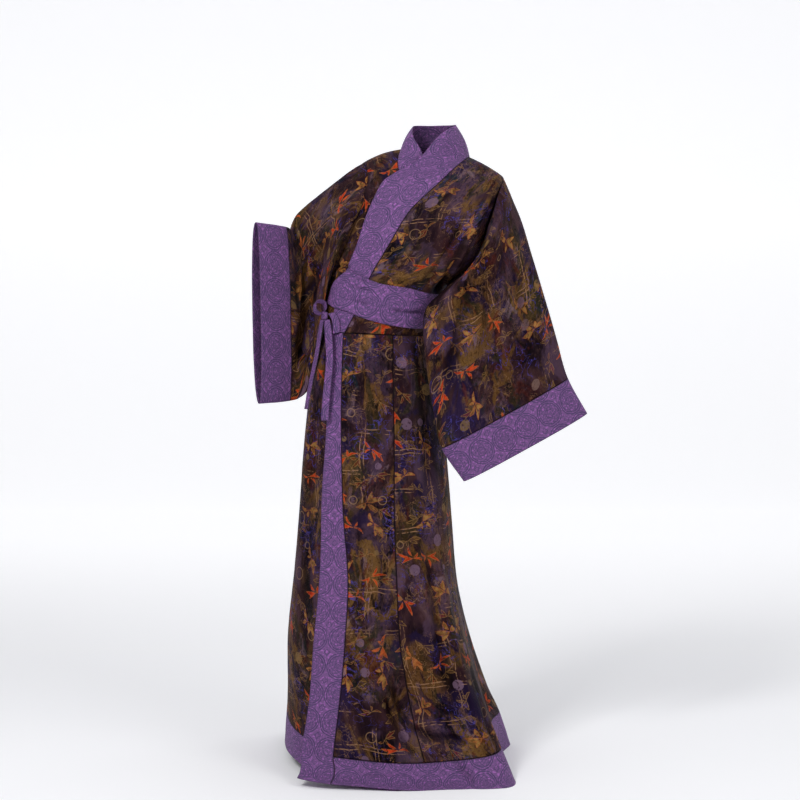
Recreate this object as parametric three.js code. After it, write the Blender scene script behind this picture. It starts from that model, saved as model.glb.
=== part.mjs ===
// Straight-hem robe with wide sleeves, standing as if worn, with a crossed front.
// Millimetres, z up, front toward -y. The origin is the hold point at the base of the neck.
import * as THREE from 'three';

const WALL = 2;
const SEAM_GAP = 0.3;
const OVERLAP_LIFT = 5;
const COVERED_DROP = 3;
const BELT_LIFT = 8.6;
const BELT_BACK_LIFT = 4.5;
const TIE_WIDTH = 18;
const KNOT_RADIUS = 9;
const KNOT_TURNS = 10;
const BODICE_COLUMNS = 12;
const COLLAR_COLUMNS = 5;
const INNER_COLUMNS = 8;
const OUTER_COLUMNS = 14;
const ROW_STEP = 0.5;
const ARMPIT_ROW = 2;
const RIDGE_ROW = 8;
const NECK_ROW = 9;
const BACK_ARMPIT_ROW = 14;
const BACK_WAIST_ROW = 16;

function table(names, rows) {
  const keys = names.split(' ');
  return rows.map((row) => Object.fromEntries(keys.map((key, i) => [key, row[i]])));
}

// Body rows: 0 front waist, 2 armpit, 8 shoulder ridge, 9 back neck, 14 armpit, 16 back waist.
// r is the wearer's right edge, l the left edge, b the swell between them.
const BODY = table('row rx ry rz lx ly lz bx by bz round', [
  [0, -276, 5, -418, -10, 0, -430, -25, -104, 0, 1],
  [1, -273, -2, -366, 11, -8, -368, -25, -108, 0, 1],
  [2, -262, -15, -316, 25, -20, -305, -22, -100, 0, 1.05],
  [3, -250, -55, -268, 78, -62, -262, -18, -66, 0, 1.3],
  [4, -228, -70, -212, 108, -80, -205, -12, -56, 4, 1.4],
  [5, -195, -68, -150, 130, -78, -138, -8, -46, 10, 1.5],
  [6, -170, -50, -86, 146, -55, -84, -2, -36, 16, 1.5],
  [7, -168, -18, -38, 156, -24, -57, 0, -30, 36, 1.5],
  [8, -180, 15, -14, 159, 8, -47, 0, 0, 53, 1.8],
  [9, -195, 50, -35, 160, 40, -62, 0, 28, 58, 1.5],
  [10, -215, 80, -92, 155, 72, -112, 0, 28, 42, 1.4],
  [11, -232, 90, -150, 144, 86, -165, 0, 24, 22, 1.4],
  [12, -246, 84, -212, 118, 84, -222, 5, 24, 8, 1.3],
  [13, -257, 50, -270, 75, 52, -270, 10, 42, 0, 1.2],
  [14, -262, -15, -316, 25, -20, -305, 18, 96, 0, 1.05],
  [15, -273, -2, -366, 11, -8, -368, 22, 104, 0, 1],
  [16, -276, 5, -418, -10, 0, -430, 25, 100, 0, 1],
]);

// Where the collar seam and its free edge cross each body row, as x.
const LEFT_FRONT = table('row seam free', [
  [0, -220, -254], [1, -192, -243], [2, -171, -234], [3, -147, -213], [4, -110, -188],
  [5, -66, -167], [6, 2, -138], [7, 54, -100], [8, 77, -60], [8.5, 66, -40], [9, -18, -30],
]);
const RIGHT_FRONT = table('row seam free', [
  [0, -95, -50], [1, -80, -35], [2, -60, -10], [3, -45, 30], [4, -45, 40],
  [5, -62, 22], [6, -84, -4], [7, -95, -20], [8, -84, -30], [8.5, -72, -30], [9, -18, -30],
]);

// The free edge of the collar round the neck, and how far it follows the body there.
const LEFT_NECK = table('row x y z body', [
  [0, -254, -60, -420, 1], [6, -130, -80, -70, 1], [6.5, -84, -76, -38, 0.5], [7, -42, -68, -4, 0],
  [7.5, 4, -52, 50, 0], [8, 41, -6, 76, 0], [8.5, 34, 32, 80, 0], [9, -16, 48, 80, 0],
]);
const RIGHT_NECK = table('row x y z body', [
  [0, -50, -60, -420, 1], [6, -4, -80, -70, 1], [6.5, -26, -62, -20, 0.5], [7, -42, -52, 18, 0],
  [7.5, -58, -38, 46, 0], [8, -60, -4, 70, 0], [8.5, -52, 32, 79, 0], [9, -16, 48, 80, 0],
]);

// Skirt rows from the waist, 0, to the hem, 1: f is the swell of the front, k of the back.
const SKIRT = table('row rx ry rz lx ly lz fx fy fz kx ky kz round', [
  [0, -276, 5, -418, -10, 0, -430, -25, -104, 0, 25, 100, 0, 1],
  [0.15, -308, 15, -578, 4, 8, -585, -28, -128, 0, 28, 118, 0, 1],
  [0.25, -319, 22, -686, 17, 12, -690, -30, -142, 0, 30, 132, 0, 0.95],
  [0.4, -331, 35, -846, 31, 18, -846, -32, -160, 0, 32, 160, 0, 0.9],
  [0.55, -344, 55, -1005, 43, 20, -1005, -32, -185, 0, 34, 188, 0, 0.85],
  [0.7, -362, 85, -1160, 62, 16, -1163, -28, -214, 0, 36, 214, 0, 0.8],
  [0.85, -367, 114, -1297, 84, 12, -1322, -20, -240, -16, 38, 236, 0, 0.8],
  [0.925, -372, 135, -1352, 96, 10, -1392, -14, -256, -58, 40, 248, 0, 0.8],
  [0.97, -376, 145, -1400, 102, 10, -1440, -12, -284, -42, 40, 256, -6, 0.8],
  [0.986, -377, 150, -1420, 104, 10, -1460, -10, -306, -33, 40, 262, -10, 0.8],
  [1, -378, 156, -1440, 106, 10, -1477, -10, -342, -19, 40, 268, -12, 0.8],
]);

// Deep folds of the skirt: where round the ring they stand, where they begin, how far they go out.
const SKIRT_LOBES = table('turn width start dx dy', [
  [0.9, 0.13, 0.6, 88, -92],
  [1.17, 0.1, 0.55, 92, 36],
  [1.84, 0.1, 0.5, -40, 20],
  [1.5, 0.09, 0.3, 4, 34],
  [1.34, 0.06, 0.3, 20, -26],
  [1.66, 0.06, 0.3, -16, -26],
]);
const OVERLAP_FLARE = table('turn width start dx dy', [[0.28, 0.15, 0.45, -44, -66]]);

// Edges of the front border strip and the seam between the two front gores.
const FRONT_CUTS = table('row free border gore', [
  [0, 0.245, 0.36, 0.642], [0.15, 0.315, 0.398, 0.647], [0.25, 0.327, 0.408, 0.643],
  [0.4, 0.328, 0.425, 0.635], [0.55, 0.337, 0.452, 0.637], [0.7, 0.337, 0.443, 0.633],
  [0.85, 0.32, 0.412, 0.645], [0.925, 0.302, 0.395, 0.665], [0.97, 0.308, 0.4, 0.672],
  [1, 0.3, 0.392, 0.688],
]);
const UNDER_EDGE = 0.72;
const RIGHT_SIDE_SEAM = 0.085;
const OVERLAP_FADE = 0.8;
const SKIRT_ROWS = [0, 0.03, 0.08, 0.15, 0.23, 0.31, 0.39, 0.47, 0.55, 0.63, 0.7, 0.77, 0.83, 0.88, 0.925];
const HEM_ROWS = [0.925, 0.97, 0.986, 1];

// Belt edges round the body, in body rows, and how far the belt swells between them.
const BELT = table('turn low high', [
  [0.2, 1.3, 2.3], [0.27, 1.1, 2.85], [0.36, 0.95, 2.6], [0.5, 0.6, 2.15], [0.66, 0.36, 1.9],
  [0.8, 0.3, 1.65], [1, 0.4, 1.6], [1.5, 0.5, 1.7], [1.9, 0.6, 1.7], [2.13, 0.9, 1.7],
]);
const BELT_TURNS = 44;
const BELT_ROWS = 4;

// Sleeve rows from the armhole, 0, to the cuff seam, 1, and the cuff edge, 1.2.
// t is the top fold, u the underarm seam, n the way the front layer faces.
const LEFT_SLEEVE = table('row tx ty tz ux uy uz nx ny front back shift', [
  [0, 159, 8, -47, 25, -20, -305, 0.3, -0.95, 60, 60, 0],
  [0.05, 170, 5, -71, 25, -54, -316, 0.3, -0.95, 60, 52, 8],
  [0.1, 180, 2, -96, 5, -92, -330, 0.3, -0.95, 57, 44, 15],
  [0.2, 200, 0, -148, -26, -119, -360, 0.28, -0.96, 52, 36, 20],
  [0.35, 224, 0, -226, -34, -125, -408, 0.28, -0.96, 46, 30, 18],
  [0.6, 260, -4, -342, -24, -124, -520, 0.28, -0.96, 40, 28, 8],
  [0.8, 289, -8, -442, -8, -122, -620, 0.28, -0.96, 34, 26, 0],
  [1, 315, -12, -533, 9, -118, -694, 0.28, -0.96, 28, 24, 0],
  [1.2, 362, -18, -618, 62, -118, -773, 0.28, -0.96, 26, 22, 0],
]);
const RIGHT_SLEEVE = table('row tx ty tz ux uy uz nx ny front back shift', [
  [0, -180, 15, -14, -262, -15, -316, -0.2, -0.98, 60, 60, 0],
  [0.05, -195, 19, -22, -276, -40, -330, -0.18, -0.98, 58, 57, 12],
  [0.15, -226, 30, -42, -282, -62, -352, -0.1, -0.99, 50, 50, 20],
  [0.35, -290, 72, -88, -289, -60, -446, 0.2, -0.98, 36, 42, 14],
  [0.52, -338, 96, -128, -297, -45, -518, 0.4, -0.92, 24, 36, 8],
  [0.68, -352, 78, -152, -313, -38, -560, 0.5, -0.87, 14, 30, 0],
  [0.84, -356, 32, -172, -334, -26, -580, 0.65, -0.76, 10, 24, 0],
  [1, -366, -22, -168, -358, -24, -587, 0.7, -0.71, 12, 18, 0],
  [1.2, -432, -89, -160, -426, -91, -590, 0.7, -0.71, 12, 18, 0],
]);
const SLEEVE_ROWS = [0, 0.05, 0.1, 0.16, 0.24, 0.34, 0.44, 0.54, 0.64, 0.74, 0.84, 0.92, 1];
const CUFF_ROWS = [1, 1.07, 1.14, 1.2];
// The bow at the wearer's right waist: paths of its ribbons, and which way each is wide.
const KNOT_AT = [-270, -87, -380];
const TIE_RIBBONS = [
  ['tie_loop', [0.35, -0.94, 0.1], [
    [-279, -94.2, -377.5], [-290, -106, -368], [-290, -111, -350], [-280, -111, -345],
    [-270, -105, -350], [-268, -100, -361], [-269, -94.8, -369.4],
  ]],
  ['tie_end', [1, -0.2, 0.2], [[-253.6, -93, -374], [-244.4, -94.8, -388], [-241.2, -95.6, -404], [-242.2, -95.6, -422]]],
  ['tie_tail_left', [0.5, -0.87, 0], [
    [-275.8, -87.6, -390], [-282, -97, -424], [-287, -111, -470], [-297, -115, -520],
    [-308, -107, -566], [-314, -99, -603],
  ]],
  ['tie_tail_right', [0.98, -0.2, 0], [
    [-264.8, -89, -390], [-260, -101, -430], [-257, -109, -484], [-261, -114, -536],
    [-266, -117, -584], [-268, -119, -629],
  ]],
];
const ARMHOLE_BLEND = 0.3;
const FLATNESS = 0.8;

// Soft ridges, plus, and troughs, minus, on the front, seen from the front in x and z.
const FRONT_CREASES = table('x1 z1 x2 z2 width height', [
  [134, -70, 92, -160, 14, 5],
  [92, -160, 18, -290, 13, 6],
  [52, -190, -30, -330, 11, 6],
  [64, -190, -6, -318, 9, -5],
  [128, -100, 104, -220, 14, -4],
  [52, -170, -26, -310, 9, -4],
]);

function smooth(x) {
  const c = Math.min(1, Math.max(0, x));
  return c * c * (3 - 2 * c);
}

// Reads a table between its rows with a smooth curve.
function readAt(rows, value) {
  const x = rows.map((row) => Object.values(row)[0]);
  const last = rows.length - 1;
  const place = Math.min(x[last], Math.max(x[0], value));
  let i = 0;
  while (i < last - 1 && place > x[i + 1]) i += 1;
  const span = x[i + 1] - x[i];
  const f = (place - x[i]) / span;
  const out = {};
  for (const key of Object.keys(rows[0])) {
    const slopeAt = (k) => {
      const low = Math.max(0, k - 1);
      const high = Math.min(last, k + 1);
      return (rows[high][key] - rows[low][key]) / (x[high] - x[low]);
    };
    const a = rows[i][key];
    const b = rows[i + 1][key];
    const ma = slopeAt(i) * span;
    const mb = slopeAt(i + 1) * span;
    const f2 = f * f;
    const f3 = f2 * f;
    out[key] = (2 * f3 - 3 * f2 + 1) * a + (f3 - 2 * f2 + f) * ma + (3 * f2 - 2 * f3) * b + (f3 - f2) * mb;
  }
  return out;
}

const vec = (x, y, z) => new THREE.Vector3(x, y, z);

// A half ring from the right edge to the left one: turn 0 to 1.
function halfRing(right, left, swell, turn, round) {
  const across = (1 - Math.cos(Math.PI * turn)) / 2;
  const out = Math.pow(Math.max(0, Math.sin(Math.PI * turn)), round);
  return right.clone().lerp(left, across).addScaledVector(swell, out);
}

function bodyBase(turn, row) {
  const r = readAt(BODY, row);
  return halfRing(vec(r.rx, r.ry, r.rz), vec(r.lx, r.ly, r.lz), vec(r.bx, r.by, r.bz), turn, r.round);
}

function lobeShift(lobes, turn, row) {
  const shift = vec(0, 0, 0);
  for (const lobe of lobes) {
    const far = (turn - lobe.turn) / lobe.width;
    const grown = Math.pow(Math.max(0, (row - lobe.start) / (1 - lobe.start)), 1.4);
    shift.addScaledVector(vec(lobe.dx, lobe.dy, 0), Math.exp(-far * far) * grown);
  }
  return shift;
}

// The skirt ring: turn 0 to 1 is the front from right to left, 1 to 2 the back again.
function skirtBase(turn, row, over) {
  const round = turn > 2 ? turn - 2 : turn;
  const r = readAt(SKIRT, row);
  const right = vec(r.rx, r.ry, r.rz);
  const left = vec(r.lx, r.ly, r.lz);
  const front = round <= 1;
  const swell = front ? vec(r.fx, r.fy, r.fz) : vec(r.kx, r.ky, r.kz);
  const point = halfRing(right, left, swell, front ? round : 2 - round, r.round);
  point.add(lobeShift(SKIRT_LOBES, round, row));
  if (over) point.add(lobeShift(OVERLAP_FLARE, round, row));
  return point;
}

function creaseHeight(point) {
  let height = 0;
  for (const c of FRONT_CREASES) {
    const dx = c.x2 - c.x1;
    const dz = c.z2 - c.z1;
    const along = ((point.x - c.x1) * dx + (point.z - c.z1) * dz) / (dx * dx + dz * dz);
    const held = Math.min(1, Math.max(0, along));
    const far = Math.hypot(point.x - c.x1 - dx * held, point.z - c.z1 - dz * held) / c.width;
    height += c.height * Math.exp(-far * far);
  }
  return height;
}

// Moves a point of a surface out along its normal.
function lifted(surface, a, b, lift) {
  const e = 0.004;
  const da = surface(a + e, b).sub(surface(a - e, b));
  const db = surface(a, b + e).sub(surface(a, b - e));
  return surface(a, b).addScaledVector(da.cross(db).normalize(), lift);
}

function overlapAmount(turn) {
  return 1 - smooth((turn - OVERLAP_FADE) / (1 - OVERLAP_FADE));
}

function bodyPoint(turn, row, lift) {
  const held = Math.min(1 - 0.005, Math.max(0.005, turn));
  const base = bodyBase(turn, row);
  const onFront = row < RIDGE_ROW ? 1 - smooth((row - 6.5) / 1.5) : 0;
  const side = smooth(turn * 8) * smooth((1 - turn) * 8) * smooth(row - 0.9);
  const amount = lift + creaseHeight(base) * onFront * side;
  const away = lifted(bodyBase, held, row, amount).sub(bodyBase(held, row));
  away.z *= smooth(Math.min(row, BACK_WAIST_ROW - row) * 1.5);
  return base.add(away);
}

function skirtPoint(turn, row, lift, over) {
  const held = Math.min(1 - 0.005, Math.max(0.005, row));
  const surface = (a, b) => skirtBase((a + 2) % 2, b, over);
  const away = lifted(surface, turn, held, lift).sub(surface(turn, held));
  away.z *= smooth(row * 10);
  return skirtBase(turn, row, over).add(away.multiplyScalar(-1));
}

// The place on a body row that has a given x.
function turnAtX(x, row) {
  let low = 0;
  let high = 1;
  for (let i = 0; i < 40; i += 1) {
    const middle = (low + high) / 2;
    if (bodyBase(middle, row).x < x) low = middle;
    else high = middle;
  }
  return (low + high) / 2;
}

function rowsBetween(from, to, step) {
  const count = Math.round((to - from) / step);
  return Array.from({ length: count + 1 }, (_, i) => from + ((to - from) * i) / count);
}

const spread = (count) => Array.from({ length: count }, (_, i) => i / (count - 1));
const pieces = [];

// Keeps a piece: a grid of points, rows of columns, facing outward.
function addPiece(name, look, grid, closed = false) {
  pieces.push({ name, look, grid, closed });
}

// The left front lies over the right one, and the covered part of the right front lies deeper.
function frontLift(turn, row, side) {
  if (row >= RIDGE_ROW) return 0;
  if (side === 'left') return OVERLAP_LIFT * overlapAmount(turn) * (1 - smooth((row - 6) / 2));
  const covered = turn - turnAtX(readAt(LEFT_FRONT, row).free, row);
  return -COVERED_DROP * smooth(covered / 0.12) * (1 - smooth((row - 6) / 1.5));
}

function bodiceRow(row, side, columns) {
  const front = row <= NECK_ROW;
  const seam = turnAtX(readAt(side === 'left' ? LEFT_FRONT : RIGHT_FRONT, Math.min(row, NECK_ROW)).seam, row);
  const inner = front ? seam : 0.5;
  const outer = side === 'left' ? 1 : 0;
  return spread(columns).map((c) => {
    const turn = inner + (outer - inner) * c;
    return bodyPoint(turn, row, frontLift(turn, row, side));
  });
}

function collarRow(row, side) {
  const edges = readAt(side === 'left' ? LEFT_FRONT : RIGHT_FRONT, row);
  const neck = readAt(side === 'left' ? LEFT_NECK : RIGHT_NECK, row);
  const seamTurn = turnAtX(edges.seam, row);
  const freeTurn = turnAtX(edges.free, row);
  const seam = bodyPoint(seamTurn, row, frontLift(seamTurn, row, side));
  const free = vec(neck.x, neck.y, neck.z);
  const body = smooth(neck.body);
  return spread(COLLAR_COLUMNS).map((c) => {
    const turn = seamTurn + (freeTurn - seamTurn) * c;
    const lying = bodyPoint(turn, row, frontLift(turn, row, side));
    const standing = seam.clone().lerp(free, c);
    const outward = vec(standing.x + 8, standing.y - 10, 0).normalize();
    standing.addScaledVector(outward, 6 * Math.sin(Math.PI * c));
    return standing.lerp(lying, body);
  });
}

function sleeveRing(rows, row) {
  const r = readAt(rows, row);
  const top = vec(r.tx, r.ty, r.tz);
  const under = vec(r.ux, r.uy, r.uz);
  const middle = top.clone().add(under).multiplyScalar(0.5);
  const half = top.clone().sub(under).multiplyScalar(0.5);
  const facing = vec(r.nx, r.ny, 0).normalize();
  const count = Math.round((BACK_ARMPIT_ROW - ARMPIT_ROW) / ROW_STEP);
  return Array.from({ length: count }, (_, i) => {
    const even = (i / count) * 2 * Math.PI;
    const angle = even + (r.shift / 180) * Math.PI * Math.sin(even);
    const c = Math.cos(angle);
    const s = Math.sin(angle);
    const along = Math.sign(c) * Math.pow(Math.abs(c), FLATNESS);
    const out = Math.sign(s) * Math.pow(Math.abs(s), FLATNESS);
    const depth = s > 0 ? r.front : r.back;
    return middle.clone().addScaledVector(half, -along).addScaledVector(facing, depth * out);
  });
}

function armholeRing(side) {
  const turn = side === 'left' ? 1 : 0;
  const count = Math.round((BACK_ARMPIT_ROW - ARMPIT_ROW) / ROW_STEP);
  return Array.from({ length: count }, (_, i) => bodyBase(turn, ARMPIT_ROW + i * ROW_STEP));
}

function sleeveGrid(side, rows, stations) {
  const armhole = armholeRing(side);
  const start = sleeveRing(rows, 0);
  return stations.map((station) => {
    const kept = 1 - smooth(station / ARMHOLE_BLEND);
    const ring = sleeveRing(rows, station).map((p, i) => (
      p.addScaledVector(armhole[i].clone().sub(start[i]), kept)
    ));
    return side === 'left' ? ring.reverse() : ring;
  });
}

const ALL_ROWS = rowsBetween(0, BACK_WAIST_ROW, ROW_STEP);
const left = ALL_ROWS.map((row) => bodiceRow(row, 'left', BODICE_COLUMNS));
const right = ALL_ROWS.map((row) => bodiceRow(row, 'right', BODICE_COLUMNS).reverse());
addPiece('bodice_left', 'print', left);
addPiece('bodice_right', 'print', right);

const NECK_ROWS = rowsBetween(0, NECK_ROW, ROW_STEP);
const collarLeft = NECK_ROWS.map((row) => collarRow(row, 'left').reverse());
const collarRight = NECK_ROWS.slice(0, -1).map((row) => collarRow(row, 'right').reverse());
addPiece('collar', 'border', collarLeft.concat(collarRight.reverse()));

addPiece('sleeve_left', 'print', sleeveGrid('left', LEFT_SLEEVE, SLEEVE_ROWS), true);
addPiece('sleeve_right', 'print', sleeveGrid('right', RIGHT_SLEEVE, SLEEVE_ROWS), true);
addPiece('cuff_left', 'border', sleeveGrid('left', LEFT_SLEEVE, CUFF_ROWS), true);
addPiece('cuff_right', 'border', sleeveGrid('right', RIGHT_SLEEVE, CUFF_ROWS), true);

const beltGrid = spread(BELT_ROWS).map((h) => spread(BELT_TURNS).map((c) => {
  const turn = 0.2 + (2.13 - 0.2) * c;
  const edge = readAt(BELT, turn);
  const row = edge.low + (edge.high - edge.low) * h;
  const around = turn > 2 ? turn - 2 : turn;
  const front = around <= 1;
  const raised = front ? smooth((around - 0.14) / 0.06) * (1 - smooth((around - 0.85) / 0.15)) : 0;
  const lift = BELT_BACK_LIFT + (BELT_LIFT - BELT_BACK_LIFT) * raised;
  return bodyPoint(front ? around : 2 - around, front ? row : BACK_WAIST_ROW - row, lift);
}));
addPiece('belt', 'border', beltGrid);

// Rows run from the bottom up, so that the grid faces outward.
function skirtGrid(rows, columns, from, to, over) {
  return rows.map((row) => spread(columns).map((c) => {
    const turn = from(row) + (to(row) - from(row)) * c;
    const lift = over ? OVERLAP_LIFT * overlapAmount(turn) : 0;
    return skirtPoint(turn, row, lift, over);
  })).reverse();
}

const cut = (name) => (row) => readAt(FRONT_CUTS, row)[name];
const fixed = (turn) => () => turn;
const SKIRT_PANELS = [
  ['front_border', 'border', 4, cut('free'), cut('border'), true],
  ['skirt_front_inner', 'print', INNER_COLUMNS, cut('border'), cut('gore'), true],
  ['skirt_front_outer', 'print', OUTER_COLUMNS, cut('gore'), fixed(1), true],
  ['skirt_under', 'print', 14, fixed(RIGHT_SIDE_SEAM), fixed(UNDER_EDGE), false],
  ['skirt_back', 'print', 30, fixed(1), fixed(2 + RIGHT_SIDE_SEAM), false],
];
const HEM_PANELS = [
  ['hem_under', 14, fixed(RIGHT_SIDE_SEAM), fixed(UNDER_EDGE), false],
  ['hem_back', 30, fixed(1), fixed(2 + RIGHT_SIDE_SEAM), false],
];
for (const [name, look, columns, from, to, over] of SKIRT_PANELS) {
  const rows = name === 'front_border' ? SKIRT_ROWS.concat(HEM_ROWS.slice(1)) : SKIRT_ROWS;
  addPiece(name, look, skirtGrid(rows, columns, from, to, over));
}
for (const [name, columns, from, to, over] of HEM_PANELS) {
  addPiece(name, 'border', skirtGrid(HEM_ROWS, columns, from, to, over));
}
const hemInner = skirtGrid(HEM_ROWS, INNER_COLUMNS, cut('border'), cut('gore'), true);
const hemOuter = skirtGrid(HEM_ROWS, OUTER_COLUMNS, cut('gore'), fixed(1), true);
addPiece('hem_front', 'border', hemInner.map((line, i) => line.concat(hemOuter[i].slice(1))));

// A flat ribbon along a path.
function ribbonGrid(way, path) {
  const across = vec(...way).normalize();
  return path.map((p) => [-0.5, 0, 0.5].map((c) => vec(...p).addScaledVector(across, c * TIE_WIDTH)));
}

const knot = [-1, 0, 1].map((h) => Array.from({ length: KNOT_TURNS }, (_, i) => {
  const angle = (i / KNOT_TURNS) * 2 * Math.PI;
  const radius = KNOT_RADIUS * (h === 0 ? 1 : 0.8);
  return vec(...KNOT_AT).add(vec(h * TIE_WIDTH * 0.4, radius * 0.6 * Math.cos(angle), radius * Math.sin(angle)));
}));
addPiece('tie_knot', 'border', knot, true);
for (const [name, way, path] of TIE_RIBBONS) addPiece(name, 'border', ribbonGrid(way, path));

// Normals of a grid from its neighbours.
function gridNormals(piece) {
  const { grid, closed } = piece;
  const rows = grid.length;
  const columns = grid[0].length;
  piece.normals = grid.map((line, i) => line.map((_, j) => {
    const up = grid[Math.min(rows - 1, i + 1)][j].clone().sub(grid[Math.max(0, i - 1)][j]);
    const next = closed ? (j + 1) % columns : Math.min(columns - 1, j + 1);
    const before = closed ? (j + columns - 1) % columns : Math.max(0, j - 1);
    const side = grid[i][next].clone().sub(grid[i][before]);
    return side.cross(up).normalize();
  }));
}

// Where two edges meet, both share one normal and each draws back by half the gap.
// At the waist seam both end level, and their columns need not match.
function meetAtSeams() {
  const edges = [];
  for (const piece of pieces) {
    const rows = piece.grid.length;
    const columns = piece.grid[0].length;
    for (let i = 0; i < rows; i += 1) {
      for (let j = 0; j < columns; j += 1) {
        const ways = [];
        if (i === 0) ways.push([1, 0]);
        if (i === rows - 1) ways.push([-1, 0]);
        if (j === 0 && !piece.closed) ways.push([0, 1]);
        if (j === columns - 1 && !piece.closed) ways.push([0, -1]);
        if (ways.length) edges.push({ piece, i, j, ways, at: piece.grid[i][j].clone() });
      }
    }
  }
  const changes = [];
  for (const edge of edges) {
    const partners = edges.filter((other) => other !== edge && other.at.distanceTo(edge.at) < 0.02);
    const own = edge.piece.normals[edge.i][edge.j];
    const waist = endsAtWaist(edge);
    if (!partners.length && !waist) continue;
    const shared = own.clone();
    partners.forEach((other) => shared.add(other.piece.normals[other.i][other.j]));
    if (waist) shared.z = 0;
    shared.normalize();
    const sharpness = 1 - Math.abs(own.dot(shared));
    const back = (SEAM_GAP / 2) * (1 + 6 * sharpness);
    const shift = vec(0, 0, 0);
    for (const [di, dj] of edge.ways) {
      const inward = edge.piece.grid[edge.i + di][edge.j + dj].clone().sub(edge.at);
      inward.addScaledVector(shared, -inward.dot(shared)).normalize();
      shift.addScaledVector(inward, back);
    }
    changes.push({ edge, shared, shift });
  }
  for (const { edge, shared, shift } of changes) {
    edge.piece.grid[edge.i][edge.j] = edge.at.clone().add(shift);
    edge.piece.normals[edge.i][edge.j] = shared;
  }
}

function endsAtWaist({ piece, i }) {
  const top = i === piece.grid.length - 1;
  if (piece.name.startsWith('skirt') || piece.name === 'front_border') return top;
  if (piece.name.startsWith('bodice') || piece.name === 'collar') return i === 0 || top;
  return false;
}

// Closes a grid of points into a wall of one thickness.
function wallGeometry(piece) {
  const { grid, normals, closed } = piece;
  const rows = grid.length;
  const columns = grid[0].length;
  const positions = [];
  for (const side of [WALL / 2, -WALL / 2]) {
    grid.forEach((line, i) => line.forEach((point, j) => {
      positions.push(...point.clone().addScaledVector(normals[i][j], side).toArray());
    }));
  }
  const inner = rows * columns;
  const at = (i, j) => i * columns + (j % columns);
  const faces = [];
  const quad = (a, b, c, d) => faces.push(a, b, c, a, c, d);
  const lastColumn = closed ? columns : columns - 1;
  for (let i = 0; i < rows - 1; i += 1) {
    for (let j = 0; j < lastColumn; j += 1) {
      quad(at(i, j), at(i, j + 1), at(i + 1, j + 1), at(i + 1, j));
      quad(inner + at(i, j), inner + at(i + 1, j), inner + at(i + 1, j + 1), inner + at(i, j + 1));
    }
  }
  for (let j = 0; j < lastColumn; j += 1) {
    quad(inner + at(0, j), inner + at(0, j + 1), at(0, j + 1), at(0, j));
    quad(at(rows - 1, j), at(rows - 1, j + 1), inner + at(rows - 1, j + 1), inner + at(rows - 1, j));
  }
  if (!closed) {
    for (let i = 0; i < rows - 1; i += 1) {
      quad(at(i, 0), at(i + 1, 0), inner + at(i + 1, 0), inner + at(i, 0));
      quad(at(i + 1, columns - 1), at(i, columns - 1), inner + at(i, columns - 1), inner + at(i + 1, columns - 1));
    }
  }
  const geometry = new THREE.BufferGeometry();
  geometry.setAttribute('position', new THREE.Float32BufferAttribute(positions, 3));
  geometry.setIndex(faces);
  geometry.computeVertexNormals();
  return geometry;
}

const LOOKS = {
  print: { color: 0x4a3630, roughness: 0.55, metalness: 0 },
  border: { color: 0x7a4a96, roughness: 0.7, metalness: 0 },
};

pieces.forEach(gridNormals);
meetAtSeams();
const robe = new THREE.Group();
robe.name = 'straight_hem_robe';
for (const piece of pieces) {
  const look = LOOKS[piece.look];
  const mesh = new THREE.Mesh(wallGeometry(piece), new THREE.MeshStandardMaterial(look));
  mesh.name = piece.name;
  robe.add(mesh);
}

export default robe;
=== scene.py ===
"""Looks for the straight-hem robe, in metres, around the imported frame."""

import math

import bpy
import numpy as np
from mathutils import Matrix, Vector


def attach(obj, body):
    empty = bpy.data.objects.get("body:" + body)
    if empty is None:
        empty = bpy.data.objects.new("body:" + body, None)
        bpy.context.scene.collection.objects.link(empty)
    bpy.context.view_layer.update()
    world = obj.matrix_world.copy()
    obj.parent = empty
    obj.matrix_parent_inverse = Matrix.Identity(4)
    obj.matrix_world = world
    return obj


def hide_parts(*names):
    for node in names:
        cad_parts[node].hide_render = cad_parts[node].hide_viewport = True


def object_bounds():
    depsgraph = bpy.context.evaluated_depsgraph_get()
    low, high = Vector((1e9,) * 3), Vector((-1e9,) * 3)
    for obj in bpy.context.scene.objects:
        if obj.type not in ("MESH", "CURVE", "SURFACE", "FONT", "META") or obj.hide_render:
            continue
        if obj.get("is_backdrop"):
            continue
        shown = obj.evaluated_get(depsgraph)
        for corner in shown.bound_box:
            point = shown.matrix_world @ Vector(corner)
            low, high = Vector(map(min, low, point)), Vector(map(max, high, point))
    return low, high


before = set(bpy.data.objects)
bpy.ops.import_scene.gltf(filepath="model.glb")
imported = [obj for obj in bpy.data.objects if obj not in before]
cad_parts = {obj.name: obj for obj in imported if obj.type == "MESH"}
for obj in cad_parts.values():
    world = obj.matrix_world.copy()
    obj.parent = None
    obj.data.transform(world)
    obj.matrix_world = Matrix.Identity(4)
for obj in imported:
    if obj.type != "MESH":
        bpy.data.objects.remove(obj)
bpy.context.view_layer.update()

scene = bpy.context.scene


def add_object(name, data):
    made = bpy.data.objects.new(name, data)
    scene.collection.objects.link(made)
    return made


# Camera
CAMERA_TILT = 3.2
camera_data = bpy.data.cameras.new("camera")
camera_data.lens = 85
camera_data.sensor_width = 36
camera = add_object("camera", camera_data)
camera.location = (-0.09, -4.59, -0.33)
camera.rotation_euler = (math.radians(90 - CAMERA_TILT), 0, 0)
scene.camera = camera

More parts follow.
